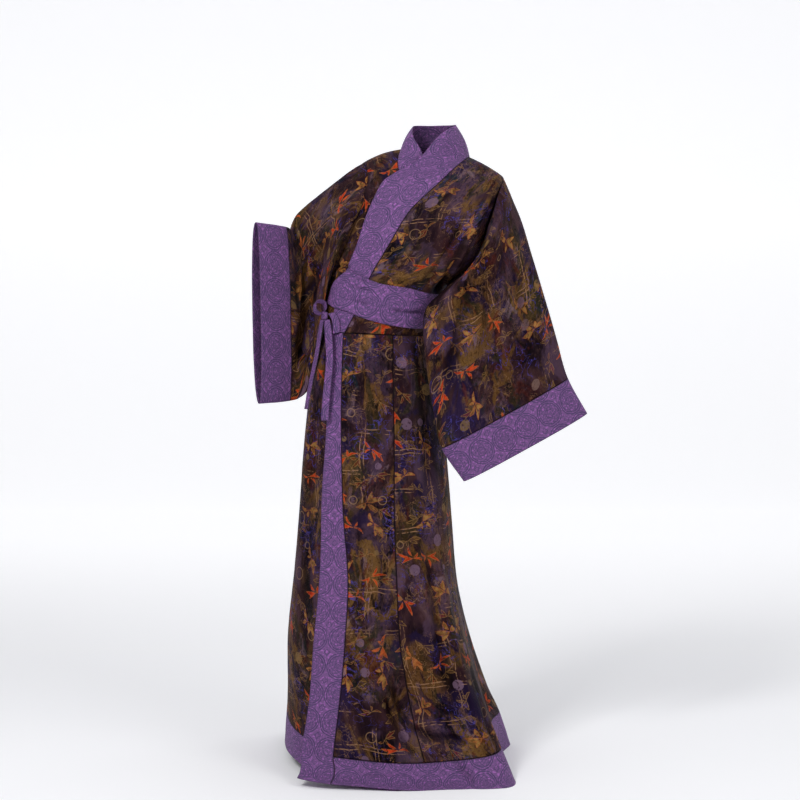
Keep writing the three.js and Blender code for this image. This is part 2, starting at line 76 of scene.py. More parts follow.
# Sizes in millimetres, as in the solids
OVERLAP_LIFT = 5
COVERED_DROP = 3
BELT_LIFT = 8.6
BELT_BACK_LIFT = 4.5
TIE_WIDTH = 18
KNOT_RADIUS = 9
ARMPIT_ROW = 2
RIDGE_ROW = 8
NECK_ROW = 9
BACK_ARMPIT_ROW = 14
BACK_WAIST_ROW = 16
UNDER_EDGE = 0.72
RIGHT_SIDE_SEAM = 0.085
OVERLAP_FADE = 0.8
ARMHOLE_BLEND = 0.3
FLATNESS = 0.8
HEM_START = 0.925
CUFF_END = 1.2
NORMAL_STEP = 0.004
FOLD_GAIN = 1.4
# Trough depth at which the painted crease shade is full
HOLLOW_SHADE_DEPTH = 9
PRINT_THICK = 1.5
BORDER_THICK = 1.9
RIBBON_THICK = 1.4
FLOOR_Z = -1480
# Points of each grid: rows, then columns
BODICE_GRID = (230, 76)
COLLAR_GRID = (150, 24)
SLEEVE_GRID = (120, 144)
CUFF_GRID = (26, 144)
BELT_GRID = (26, 210)
RIBBON_GRID = (70, 9)
KNOT_GRID = (17, 72)


def table(names, rows):
    """Named columns, with a row for each section or fold."""
    values = np.array(rows, float)
    return {name: values[:, i] for i, name in enumerate(names.split())}


# Body rows: 0 front waist, 2 armpit, 8 shoulder ridge, 9 back neck, 14 armpit, 16 back waist.
# r is the wearer's right edge, l the left edge, b the swell between them.
BODY = table("row rx ry rz lx ly lz bx by bz round", [
    [0, -276, 5, -418, -10, 0, -430, -25, -104, 0, 1],
    [1, -273, -2, -366, 11, -8, -368, -25, -108, 0, 1],
    [2, -262, -15, -316, 25, -20, -305, -22, -100, 0, 1.05],
    [3, -250, -55, -268, 78, -62, -262, -18, -66, 0, 1.3],
    [4, -228, -70, -212, 108, -80, -205, -12, -56, 4, 1.4],
    [5, -195, -68, -150, 130, -78, -138, -8, -46, 10, 1.5],
    [6, -170, -50, -86, 146, -55, -84, -2, -36, 16, 1.5],
    [7, -168, -18, -38, 156, -24, -57, 0, -30, 36, 1.5],
    [8, -180, 15, -14, 159, 8, -47, 0, 0, 53, 1.8],
    [9, -195, 50, -35, 160, 40, -62, 0, 28, 58, 1.5],
    [10, -215, 80, -92, 155, 72, -112, 0, 28, 42, 1.4],
    [11, -232, 90, -150, 144, 86, -165, 0, 24, 22, 1.4],
    [12, -246, 84, -212, 118, 84, -222, 5, 24, 8, 1.3],
    [13, -257, 50, -270, 75, 52, -270, 10, 42, 0, 1.2],
    [14, -262, -15, -316, 25, -20, -305, 18, 96, 0, 1.05],
    [15, -273, -2, -366, 11, -8, -368, 22, 104, 0, 1],
    [16, -276, 5, -418, -10, 0, -430, 25, 100, 0, 1],
])
# Where the collar seam and its free edge cross each body row, as x
LEFT_FRONT = table("row seam free", [
    [0, -220, -254], [1, -192, -243], [2, -171, -234], [3, -147, -213], [4, -110, -188],
    [5, -66, -167], [6, 2, -138], [7, 54, -100], [8, 77, -60], [8.5, 66, -40], [9, -18, -30],
])
RIGHT_FRONT = table("row seam free", [
    [0, -95, -50], [1, -80, -35], [2, -60, -10], [3, -45, 30], [4, -45, 40],
    [5, -62, 22], [6, -84, -4], [7, -95, -20], [8, -84, -30], [8.5, -72, -30], [9, -18, -30],
])
# The free edge of the collar round the neck, and how far it follows the body there
LEFT_NECK = table("row x y z body", [
    [0, -254, -60, -420, 1], [6, -130, -80, -70, 1], [6.5, -84, -76, -38, 0.5],
    [7, -42, -68, -4, 0], [7.5, 4, -52, 50, 0], [8, 41, -6, 76, 0], [8.5, 34, 32, 80, 0],
    [9, -16, 48, 80, 0],
])
RIGHT_NECK = table("row x y z body", [
    [0, -50, -60, -420, 1], [6, -4, -80, -70, 1], [6.5, -26, -62, -20, 0.5],
    [7, -42, -52, 18, 0], [7.5, -58, -38, 46, 0], [8, -60, -4, 70, 0], [8.5, -52, 32, 79, 0],
    [9, -16, 48, 80, 0],
])
# Skirt rows from the waist, 0, to the hem, 1: f is the swell of the front, k of the back
SKIRT = table("row rx ry rz lx ly lz fx fy fz kx ky kz round", [
    [0, -276, 5, -418, -10, 0, -430, -25, -104, 0, 25, 100, 0, 1],
    [0.15, -308, 15, -578, 4, 8, -585, -28, -128, 0, 28, 118, 0, 1],
    [0.25, -319, 22, -686, 17, 12, -690, -30, -142, 0, 30, 132, 0, 0.95],
    [0.4, -331, 35, -846, 31, 18, -846, -32, -160, 0, 32, 160, 0, 0.9],
    [0.55, -344, 55, -1005, 43, 20, -1005, -32, -185, 0, 34, 188, 0, 0.85],
    [0.7, -362, 85, -1160, 62, 16, -1163, -28, -214, 0, 36, 214, 0, 0.8],
    [0.85, -367, 114, -1297, 84, 12, -1322, -20, -240, -16, 38, 236, 0, 0.8],
    [0.925, -372, 135, -1352, 96, 10, -1392, -14, -256, -58, 40, 248, 0, 0.8],
    [0.97, -376, 145, -1400, 102, 10, -1440, -12, -284, -42, 40, 256, -6, 0.8],
    [0.986, -377, 150, -1420, 104, 10, -1460, -10, -306, -33, 40, 262, -10, 0.8],
    [1, -378, 156, -1440, 106, 10, -1477, -10, -342, -19, 40, 268, -12, 0.8],
])
# Deep folds of the skirt: where round the ring they stand, where they begin, how far they go out
SKIRT_LOBES = table("turn width start dx dy", [
    [0.9, 0.13, 0.6, 88, -92],
    [1.17, 0.1, 0.55, 92, 36],
    [1.84, 0.1, 0.5, -40, 20],
    [1.5, 0.09, 0.3, 4, 34],
    [1.34, 0.06, 0.3, 20, -26],
    [1.66, 0.06, 0.3, -16, -26],
])
OVERLAP_FLARE = table("turn width start dx dy", [[0.28, 0.15, 0.45, -44, -66]])
# Edges of the front border strip and the seam between the two front gores
FRONT_CUTS = table("row free border gore", [
    [0, 0.245, 0.36, 0.642], [0.15, 0.315, 0.398, 0.647], [0.25, 0.327, 0.408, 0.643],
    [0.4, 0.328, 0.425, 0.635], [0.55, 0.337, 0.452, 0.637], [0.7, 0.337, 0.443, 0.633],
    [0.85, 0.32, 0.412, 0.645], [0.925, 0.302, 0.395, 0.665], [0.97, 0.308, 0.4, 0.672],
    [1, 0.3, 0.392, 0.688],
])
# Belt edges round the body, in body rows
BELT = table("turn low high", [
    [0.2, 1.3, 2.3], [0.27, 1.1, 2.85], [0.36, 0.95, 2.6], [0.5, 0.6, 2.15], [0.66, 0.36, 1.9],
    [0.8, 0.3, 1.65], [1, 0.4, 1.6], [1.5, 0.5, 1.7], [1.9, 0.6, 1.7], [2.13, 0.9, 1.7],
])
# Sleeve rows from the armhole, 0, to the cuff seam, 1, and the cuff edge, 1.2.
# t is the top fold, u the underarm seam, n the way the front layer faces.
LEFT_SLEEVE = table("row tx ty tz ux uy uz nx ny front back shift", [
    [0, 159, 8, -47, 25, -20, -305, 0.3, -0.95, 60, 60, 0],
    [0.05, 170, 5, -71, 20, -54, -316, 0.3, -0.95, 60, 52, 8],
    [0.1, 180, 2, -96, 5, -92, -330, 0.3, -0.95, 57, 44, 15],
    [0.2, 200, 0, -148, -26, -119, -360, 0.28, -0.96, 52, 36, 20],
    [0.35, 224, 0, -226, -34, -125, -408, 0.28, -0.96, 46, 30, 18],
    [0.6, 260, -4, -342, -24, -124, -520, 0.28, -0.96, 40, 28, 8],
    [0.8, 289, -8, -442, -8, -122, -620, 0.28, -0.96, 34, 26, 0],
    [1, 315, -12, -533, 9, -118, -694, 0.28, -0.96, 28, 24, 0],
    [1.2, 362, -18, -618, 62, -118, -773, 0.28, -0.96, 26, 22, 0],
])
RIGHT_SLEEVE = table("row tx ty tz ux uy uz nx ny front back shift", [
    [0, -180, 15, -14, -262, -15, -316, -0.2, -0.98, 60, 60, 0],
    [0.05, -195, 19, -22, -267, -40, -330, -0.18, -0.98, 58, 57, 12],
    [0.15, -226, 30, -42, -272, -62, -352, -0.1, -0.99, 50, 50, 20],
    [0.35, -290, 72, -88, -285, -60, -446, 0.2, -0.98, 36, 42, 14],
    [0.52, -338, 96, -128, -297, -45, -518, 0.4, -0.92, 24, 36, 8],
    [0.68, -352, 78, -152, -313, -38, -560, 0.5, -0.87, 14, 30, 0],
    [0.84, -356, 32, -172, -334, -26, -580, 0.65, -0.76, 10, 24, 0],
    [1, -366, -22, -168, -358, -24, -587, 0.7, -0.71, 12, 18, 0],
    [1.2, -432, -89, -160, -426, -91, -590, 0.7, -0.71, 12, 18, 0],
])
# Soft ridges, plus, and troughs, minus, on the front, seen from the front in x and z
FRONT_CREASES = table("x1 z1 x2 z2 width height", [
    [134, -70, 92, -160, 14, 5],
    [92, -160, 18, -290, 13, 6],
    [52, -190, -30, -330, 11, 6],
    [64, -190, -6, -318, 9, -5],
    [128, -100, 104, -220, 14, -4],
    [52, -170, -26, -310, 9, -4],
])
FRONTS = {"left": LEFT_FRONT, "right": RIGHT_FRONT}
NECKS = {"left": LEFT_NECK, "right": RIGHT_NECK}
# Where on the bolt each piece was cut, in metres, so that no two repeat each other
PATTERN_AT = {
    "bodice_right": (0.41, 0.23),
    "sleeve_left": (0.83, 0.57),
    "sleeve_right": (1.37, 0.91),
    "skirt_front_inner": (0.19, 1.43),
    "skirt_front_outer": (1.71, 0.33),
    "skirt_under": (2.13, 1.07),
    "skirt_back": (0.67, 2.31),
    "front_border": (0.03, 0.0),
    "cuff_left": (0.0, 0.016),
    "cuff_right": (0.0, 0.016),
}
# The bow: each ribbon's wide direction, then its path
KNOT_AT = np.array([-270, -87, -380.0])
TIE_RIBBONS = [
    ["tie_loop", [0.42, -0.8, 0.42], [
        [-279, -94.2, -377.5], [-290, -106, -368], [-290, -111, -350], [-280, -111, -345],
        [-270, -105, -350], [-268, -100, -361], [-269, -94.8, -369.4],
    ]],
    ["tie_end", [1, -0.2, 0.2], [
        [-253.6, -93, -374], [-244.4, -94.8, -388], [-241.2, -95.6, -404], [-242.2, -95.6, -422],
    ]],
    ["tie_tail_left", [0.5, -0.87, 0], [
        [-275.8, -87.6, -390], [-282, -97, -424], [-287, -111, -470], [-297, -115, -520],
        [-308, -107, -566], [-314, -99, -603],
    ]],
    ["tie_tail_right", [0.98, -0.2, 0], [
        [-264.8, -89, -390], [-260, -101, -430], [-257, -109, -484], [-261, -114, -536],
        [-266, -117, -584], [-268, -119, -629],
    ]],
]

# Creases: side, width and height, then x and z along the crease.
# Side is -1 on the front and 1 on the back; a trough has a minus height.
BODY_RELIEF = [
    [-1, 8, -6, -161, -94, -185, -118, -216, -189, -245, -251, -262, -320],
    [-1, 4, -5, -257, -253, -231, -267, -204, -267],
    [-1, 9, -3, 60, -46, 27, -118, -2, -182, -30, -253],
    [-1, 8, 3, 100, -70, 77, -141, 41, -224],
    [-1, 7, 4, -123, -23, -166, -82, -204, -141, -257, -224],
    [-1, 8, -4, -233, -82, -252, -141, -271, -212, -276, -267],
    [-1, 4.5, -3, -192, -381, -197, -450, -206, -545],
    [-1, 4.5, -3.5, -175, -386, -173, -462, -180, -593],
    [-1, 5, 3, -159, -393, -154, -486, -152, -640],
    [-1, 6, -3, -140, -400, -130, -514, -123, -700],
    [-1, 9, 3, -83, -424, -71, -533, -61, -748],
    [-1, 8, -3.5, -54, -429, -40, -557, -26, -724, -18, -868],
    [-1, 13, 4, -170, -649, -166, -862, -156, -1100, -152, -1340],
    [-1, 9, -3, -194, -767, -185, -957, -190, -1196, -195, -1388],
    [-1, 11, -3.5, -137, -815, -128, -1053, -123, -1292],
    [-1, 13, 4, -62, -767, -43, -957, -19, -1148, 0, -1268],
    [-1, 11, -6, -33, -910, -5, -1100, 29, -1268, 57, -1354],
    [-1, 10, 5, 0, -957, 29, -1112, 60, -1244, 91, -1350],
    [-1, 8, 12, -91, -1190, -71, -1235, -29, -1300, 11, -1326, 60, -1342, 93, -1359, 126, -1373],
    [-1, 8, -12, -112, -1240, -98, -1300, -66, -1350, -20, -1372, 50, -1384, 100, -1392],
    [-1, 7, -10, -128, -1270, -112, -1330, -80, -1390, -40, -1424],
    [-1, 6, 4, -207, -1458, -149, -1465, -85, -1463, -34, -1482],
    [-1, 8, -8, 60, -1133, 80, -1179, 92, -1245, 113, -1311, 133, -1377, 142, -1420],
    [-1, 8, -4, 23, -1411, 55, -1444, 93, -1477],
    [-1, 12, -4, -286, -560, -300, -760, -316, -980, -330, -1180],
    [-1, 10, 4, -262, -640, -272, -840, -286, -1060, -298, -1300],
    [-1, 7, 5, 135, -66, 110, -123, 88, -168, 57, -232, 38, -267, 0, -325],
    [-1, 5, 5, 60, -180, 29, -239, 5, -286, -38, -327],
    [-1, 5, -6, 74, -192, 43, -253, 15, -296, -19, -341],
    [-1, 5, -4, 61, -158, 24, -220, -9, -272, -42, -312],
    [-1, 6, -5, 151, -72, 132, -132, 117, -186, 94, -229],
    [-1, 3.5, -5, -111, -367, -78, -373, -29, -372],
    [-1, 3, 3, -119, -358, -78, -362, -31, -360],
    [-1, 3, -3, -221, -303, -190, -315, -147, -322],
    [-1, 3, 3, -225, -320, -190, -331, -138, -341],
    [-1, 3, -3, -225, -339, -195, -346, -152, -358],
    [-1, 3, -2.5, -211, -284, -180, -298, -137, -308],
    [1, 12, -5, -200, -60, -170, -150, -150, -300],
    [1, 14, 5, -150, -50, -120, -160, -110, -330],
    [1, 12, -5, 130, -80, 90, -180, 40, -320],
    [1, 12, 4, 90, -60, 50, -170, 0, -330],
    [1, 10, -4, -40, -120, -50, -220, -60, -380],
    [1, 6, -3, -210, -440, -222, -560, -230, -760],
    [1, 6, 3, -180, -440, -186, -590, -196, -820],
    [1, 6, -3, -150, -440, -152, -600, -160, -880],
    [1, 7, 3, -110, -440, -104, -640, -100, -900],
    [1, 6, -3, -70, -440, -60, -600, -44, -840],
    [1, 7, 3, -40, -440, -22, -620, 2, -900],
    [1, 13, 6, -240, -800, -262, -1000, -290, -1230, -310, -1440],
    [1, 12, -6, -205, -780, -214, -1010, -236, -1250, -250, -1450],
    [1, 14, 6, -150, -860, -150, -1080, -160, -1300, -166, -1460],
    [1, 12, -6, -95, -840, -82, -1070, -76, -1290, -74, -1460],
    [1, 13, 6, -40, -900, -16, -1120, 6, -1320, 16, -1460],
    [1, 11, -6, 10, -880, 44, -1120, 80, -1330, 100, -1460],
]
LEFT_RELIEF = [
    [-1, 13, -7, 85, -267, 56, -375, 47, -432, 30, -504, 18, -593],
    [-1, 12, 5, 97, -224, 97, -343, 88, -463, 69, -574],
    [-1, 14, 4, 123, -140, 140, -286, 164, -415, 189, -526],
    [-1, 12, -5, 160, -130, 176, -236, 208, -367, 240, -492],
    [-1, 12, 3, 168, -140, 197, -260, 234, -379, 270, -487],
    [-1, 10, -3, 111, -200, 121, -343, 124, -463, 117, -584],
    [1, 13, -6, 130, -140, 110, -300, 84, -480, 70, -640],
    [1, 14, 5, 160, -160, 170, -300, 170, -460, 176, -620],
    [1, 12, -4, 190, -200, 220, -360, 250, -520],
    [1, 12, 4, 60, -320, 40, -460, 36, -600],
]
RIGHT_RELIEF = [
    [-1, 6, 4, -266, -280, -283, -330, -289, -380],
    [-1, 6, 5, -289, -420, -300, -475, -318, -545],
    [-1, 13, -16, -298, -250, -311, -330, -320, -420, -332, -520],
    [-1, 5, 5, -279, -235, -303, -310, -313, -360],
    [-1, 7, 6, -334, -200, -337, -300, -341, -420, -348, -540],
    [-1, 5, -5, -322, -231, -326, -300, -334, -360],
    [-1, 8, -6, -248, -120, -276, -190, -300, -246],
    [-1, 7, 6, -222, -84, -256, -150, -292, -222],
    [-1, 6, -5, -206, -110, -238, -185, -262, -262],
    [-1, 6, 4, -290, -120, -318, -170, -342, -190],
    [1, 9, -5, -240, -60, -290, -200, -310, -380, -330, -520],
    [1, 9, 5, -280, -90, -330, -240, -345, -420],
]


def smooth(x):
    c = np.clip(x, 0, 1)
    return c * c * (3 - 2 * c)


def read_at(rows, value):
    """Reads a table between its rows with a smooth curve."""
    names = list(rows)
    x = rows[names[0]]
    place = np.clip(value, x[0], x[-1])
    i = np.clip(np.searchsorted(x, place) - 1, 0, len(x) - 2)
    span = x[i + 1] - x[i]
    f = (place - x[i]) / span
    low = np.maximum(np.arange(len(x)) - 1, 0)
    high = np.minimum(np.arange(len(x)) + 1, len(x) - 1)
    out = {}
    for name in names:
        y = rows[name]
        slope = (y[high] - y[low]) / (x[high] - x[low])
        f2 = f * f
        f3 = f2 * f
        start = (2 * f3 - 3 * f2 + 1) * y[i] + (f3 - 2 * f2 + f) * slope[i] * span
        out[name] = start + (3 * f2 - 2 * f3) * y[i + 1] + (f3 - f2) * slope[i + 1] * span
    return out


def stack(x, y, z):
    return np.stack(np.broadcast_arrays(x, y, z), axis=-1).astype(float)


def corner(row, key):
    """The point that a table row gives in the three columns that begin with key."""
    return stack(row[key + "x"], row[key + "y"], row[key + "z"])


def unit(v):
    return v / np.maximum(np.linalg.norm(v, axis=-1, keepdims=True), 1e-9)


# The robe's surfaces, as in the solids
def half_ring(right, left, swell, turn, power):
    across = (1 - np.cos(np.pi * turn)) / 2
    out = np.maximum(0, np.sin(np.pi * turn)) ** power
    return right + (left - right) * across[..., None] + swell * out[..., None]


def body_base(turn, row):
    r = read_at(BODY, row)
    return half_ring(corner(r, "r"), corner(r, "l"), corner(r, "b"), turn, r["round"])


def lobe_shift(lobes, turn, row):
    shift = np.zeros(turn.shape + (3,))
    for at, width, start, dx, dy in zip(*lobes.values()):
        far = (turn - at) / width
        grown = np.maximum(0, (row - start) / (1 - start)) ** 1.4
        shift += np.array([dx, dy, 0]) * (np.exp(-far * far) * grown)[..., None]
    return shift


def skirt_base(turn, row, over):
    around = np.where(turn > 2, turn - 2, turn)
    r = read_at(SKIRT, row)
    front = around <= 1
    swell = np.where(front[..., None], corner(r, "f"), corner(r, "k"))
    level = np.where(front, around, 2 - around)
    point = half_ring(corner(r, "r"), corner(r, "l"), swell, level, r["round"])
    point = point + lobe_shift(SKIRT_LOBES, around, row)
    if over:
        point = point + lobe_shift(OVERLAP_FLARE, around, row)
    return point


def crease_height(point):
    height = np.zeros(point.shape[:-1])
    for x1, z1, x2, z2, width, rise in zip(*FRONT_CREASES.values()):
        dx = x2 - x1
        dz = z2 - z1
        px = point[..., 0] - x1
        pz = point[..., 2] - z1
        held = np.clip((px * dx + pz * dz) / (dx * dx + dz * dz), 0, 1)
        far = np.hypot(px - dx * held, pz - dz * held) / width
        height += rise * np.exp(-far * far)
    return height


def lift_away(surface, a, b, lift):
    """How far a point moves when it is lifted along the normal."""
    e = NORMAL_STEP
    da = surface(a + e, b) - surface(a - e, b)
    db = surface(a, b + e) - surface(a, b - e)
    return unit(np.cross(da, db)) * np.asarray(lift)[..., None]


def overlap_amount(turn):
    return 1 - smooth((turn - OVERLAP_FADE) / (1 - OVERLAP_FADE))


def body_point(turn, row, lift):
    turn, row, lift = np.broadcast_arrays(turn, row, lift)
    held = np.clip(turn, 0.005, 0.995)
    base = body_base(turn, row)
    on_front = np.where(row < RIDGE_ROW, 1 - smooth((row - 6.5) / 1.5), 0)
    side = smooth(turn * 8) * smooth((1 - turn) * 8) * smooth(row - 0.9)
    away = lift_away(body_base, held, row, lift + crease_height(base) * on_front * side)
    away[..., 2] *= smooth(np.minimum(row, BACK_WAIST_ROW - row) * 1.5)
    return base + away


def skirt_point(turn, row, lift, over):
    turn, row, lift = np.broadcast_arrays(turn, row, lift)
    held = np.clip(row, 0.005, 0.995)
    away = lift_away(lambda a, b: skirt_base((a + 2) % 2, b, over), turn, held, lift)
    away[..., 2] *= smooth(row * 10)
    return skirt_base(turn, row, over) - away


def turn_at_x(x, row):
    low = np.zeros(np.broadcast(x, row).shape)
    high = low + 1
    for _ in range(40):
        middle = (low + high) / 2
        less = body_base(middle, row)[..., 0] < x
        low = np.where(less, middle, low)
        high = np.where(less, high, middle)
    return (low + high) / 2


def front_lift(turn, row, side):
    front = row < RIDGE_ROW
    if side == "left":
        lift = OVERLAP_LIFT * overlap_amount(turn) * (1 - smooth((row - 6) / 2))
        return np.where(front, lift, 0)
    held = np.minimum(row, NECK_ROW)
    covered = turn - turn_at_x(read_at(LEFT_FRONT, held)["free"], held)
    drop = COVERED_DROP * smooth(covered / 0.12) * (1 - smooth((row - 6) / 1.5))
    return np.where(front, -drop, 0)


def bodice_grid(side, rows, columns):
    row = np.linspace(0, BACK_WAIST_ROW, rows)[:, None]
    c = np.linspace(0, 1, columns)[None, :]
    held = np.minimum(row, NECK_ROW)
    edges = read_at(FRONTS[side], held)
    seam = turn_at_x(edges["seam"], row)
    inner = np.where(row <= NECK_ROW, seam, 0.5)
    outer = 1 if side == "left" else 0
    turn = inner + (outer - inner) * c
    row = np.broadcast_to(row, turn.shape)
    grid = body_point(turn, row, front_lift(turn, row, side))
    return grid if side == "left" else grid[:, ::-1]


def collar_half(side, row, columns):
    row = row[:, None]
    edges = read_at(FRONTS[side], row)
    neck = read_at(NECKS[side], row)
    seam_turn = turn_at_x(edges["seam"], row)
    free_turn = turn_at_x(edges["free"], row)
    seam = body_point(seam_turn, row, front_lift(seam_turn, row, side))
    free = stack(neck["x"], neck["y"], neck["z"])
    c = np.linspace(0, 1, columns)[None, :]
    turn = seam_turn + (free_turn - seam_turn) * c
    level = np.broadcast_to(row, turn.shape)
    lying = body_point(turn, level, front_lift(turn, level, side))
    standing = seam + (free - seam) * c[..., None]
    outward = unit(stack(standing[..., 0] + 8, standing[..., 1] - 10, 0))
    standing = standing + outward * (6 * np.sin(np.pi * c))[..., None]
    body = smooth(neck["body"])[..., None]
    return (standing + (lying - standing) * body)[:, ::-1]


def sleeve_ring(rows, row, count):
    r = read_at(rows, row)
    top = corner(r, "t")
    under = corner(r, "u")
    facing = unit(np.array([r["nx"], r["ny"], 0.0]))
    even = np.arange(count) / count * 2 * np.pi
    angle = even + math.radians(float(r["shift"])) * np.sin(even)
    c = np.cos(angle)
    s = np.sin(angle)
    along = np.sign(c) * np.abs(c) ** FLATNESS
    out = np.sign(s) * np.abs(s) ** FLATNESS
    depth = np.where(s > 0, r["front"], r["back"])
    middle = (top + under) / 2
    half = (top - under) / 2
    return middle - half * along[:, None] + facing * (depth * out)[:, None]


def sleeve_grid(side, rows, first, last, size):
    stations, count = size
    turn = 1.0 if side == "left" else 0.0
    level = ARMPIT_ROW + np.arange(count) / count * (BACK_ARMPIT_ROW - ARMPIT_ROW)
    armhole = body_base(np.full(count, turn), level)
    start = sleeve_ring(rows, 0.0, count)
    lines = []
    for station in np.linspace(first, last, stations):
        kept = 1 - smooth(station / ARMHOLE_BLEND)
        ring = sleeve_ring(rows, station, count) + (armhole - start) * kept
        lines.append(ring[::-1] if side == "left" else ring)
    return np.array(lines)


def belt_grid(rows, columns):
    ends = BELT["turn"]
    turn = np.broadcast_to(np.linspace(ends[0], ends[-1], columns)[None, :], (rows, columns))
    h = np.linspace(0, 1, rows)[:, None]
    edge = read_at(BELT, turn)
    row = edge["low"] + (edge["high"] - edge["low"]) * h
    around = np.where(turn > 2, turn - 2, turn)
    front = around <= 1
    shown = smooth((around - 0.14) / 0.06) * (1 - smooth((around - 0.85) / 0.15))
    lift = BELT_BACK_LIFT + (BELT_LIFT - BELT_BACK_LIFT) * np.where(front, shown, 0)
    turn = np.where(front, around, 2 - around)
    return body_point(turn, np.where(front, row, BACK_WAIST_ROW - row), lift)


def skirt_grid(low, high, rows, columns, start, end, over):
    row = np.linspace(high, low, rows)[:, None]
    cuts = read_at(FRONT_CUTS, row)
    first = cuts[start] if isinstance(start, str) else start
    last = cuts[end] if isinstance(end, str) else end
    turn = first + (last - first) * np.linspace(0, 1, columns)[None, :] + 0 * row
    row = np.broadcast_to(row, turn.shape)
    lift = OVERLAP_LIFT * overlap_amount(turn) if over else np.zeros(turn.shape)
    return skirt_point(turn, row, lift, over)


# Relief of the cloth
def grid_normals(grid, closed):
    if closed:
        side = np.roll(grid, -1, axis=1) - np.roll(grid, 1, axis=1)
    else:
        side = np.gradient(grid, axis=1)
    return unit(np.cross(side, np.gradient(grid, axis=0)))


def relief(grid, normals, creases, ripple):
    """How far the creases and the soft unevenness move each point."""
    x = grid[..., 0]
    z = grid[..., 2]
    out = np.zeros(x.shape)
    for side, width, height, *line in creases:
        points = np.array(line, float).reshape(-1, 2)
        steps = np.linalg.norm(np.diff(points, axis=0), axis=1)
        whole = steps.sum()
        best = np.full(x.shape, 1e9)
        along = np.zeros(x.shape)
        gone = 0.0
        for a, b, step in zip(points[:-1], points[1:], steps):
            d = (b - a) / step
            reach = np.clip((x - a[0]) * d[0] + (z - a[1]) * d[1], 0, step)
            far = np.hypot(x - a[0] - d[0] * reach, z - a[1] - d[1] * reach)
            nearer = far < best
            best = np.where(nearer, far, best)
            along = np.where(nearer, (gone + reach) / whole, along)
            gone += step
        uneven = 1 + 0.3 * np.sin(along * 9 + points[0, 0] * 0.1)
        ends = smooth(along * 4 + 0.15) * smooth((1 - along) * 4)
        facing = smooth(normals[..., 1] * side * 2.5)
        swell = np.exp(-(best / (width * (0.8 + 0.5 * along))) ** 2)
        out += FOLD_GAIN * height * uneven * ends * facing * swell
    # Soft unevenness from crossed waves
    wave = np.sin(x / 31 + z / 160) * np.sin(z / 97 + grid[..., 1] / 50 + 1)
    wave += 0.6 * np.sin(x / 17 - z / 88 + 2) * np.sin(z / 61 - x / 140)
    wave += 0.3 * np.sin(x / 9 + z / 33) * np.sin(z / 23 - grid[..., 1] / 19)
    return out + ripple * wave


def arc_lengths(grid, axis):
    steps = np.linalg.norm(np.diff(grid, axis=axis), axis=-1)
    pad = [(0, 0), (0, 0)]
    pad[axis] = (1, 0)
    return np.pad(np.cumsum(steps, axis=axis), pad)


def cloth_uv(grid, closed, upside, centre, shift):
    """The cloth's own lengths as UVs, in metres. A closed ring gets one column more."""
    ring = np.concatenate([grid, grid[:, :1]], axis=1) if closed else grid
    u = arc_lengths(ring, 1)
    v = arc_lengths(ring, 0)
    middle = int(round((ring.shape[1] - 1) * centre))
    u = u - u[:, middle:middle + 1]
    level = v if closed else v[:, middle:middle + 1]
    uv = np.stack([u, np.broadcast_to(level, u.shape)], axis=-1)
    return shift - uv if upside else shift + uv


def grid_mesh(name, grid, uv):
    """Quads between the grid's points. With a UV column more, the last joins the first."""
    rows, columns = grid.shape[:2]
    i, j = np.meshgrid(np.arange(rows - 1), np.arange(uv.shape[1] - 1), indexing="ij")
    i = i.ravel()
    j = j.ravel()
    k = (j + 1) % columns
    below = i * columns
    above = below + columns
    faces = np.stack([below + j, below + k, above + k, above + j], 1)
    corners = np.stack([uv[i, j], uv[i, j + 1], uv[i + 1, j + 1], uv[i + 1, j]], 1)
    mesh = bpy.data.meshes.new(name)
    mesh.from_pydata(grid.reshape(-1, 3).tolist(), [], faces.tolist())
    layer = mesh.uv_layers.new(name="cloth")
    layer.data.foreach_set("uv", corners.astype(np.float32).ravel())
    mesh.shade_smooth()
    return mesh


def edge_distances(grid, closed, sewn):
    """How far each point lies from the nearest sewn edge and from the nearest free one."""
    across = arc_lengths(grid, 1)
    down = arc_lengths(grid, 0)
    edges = {"first": down, "last": down[-1:] - down}
    if not closed:
        edges.update(left=across, right=across[:, -1:] - across)
    far = {"sewn": np.ones(grid.shape[:2]), "free": np.ones(grid.shape[:2])}
    for key, distance in edges.items():
        kind = "sewn" if key in sewn.split() else "free"
        far[kind] = np.minimum(far[kind], distance)
    return far


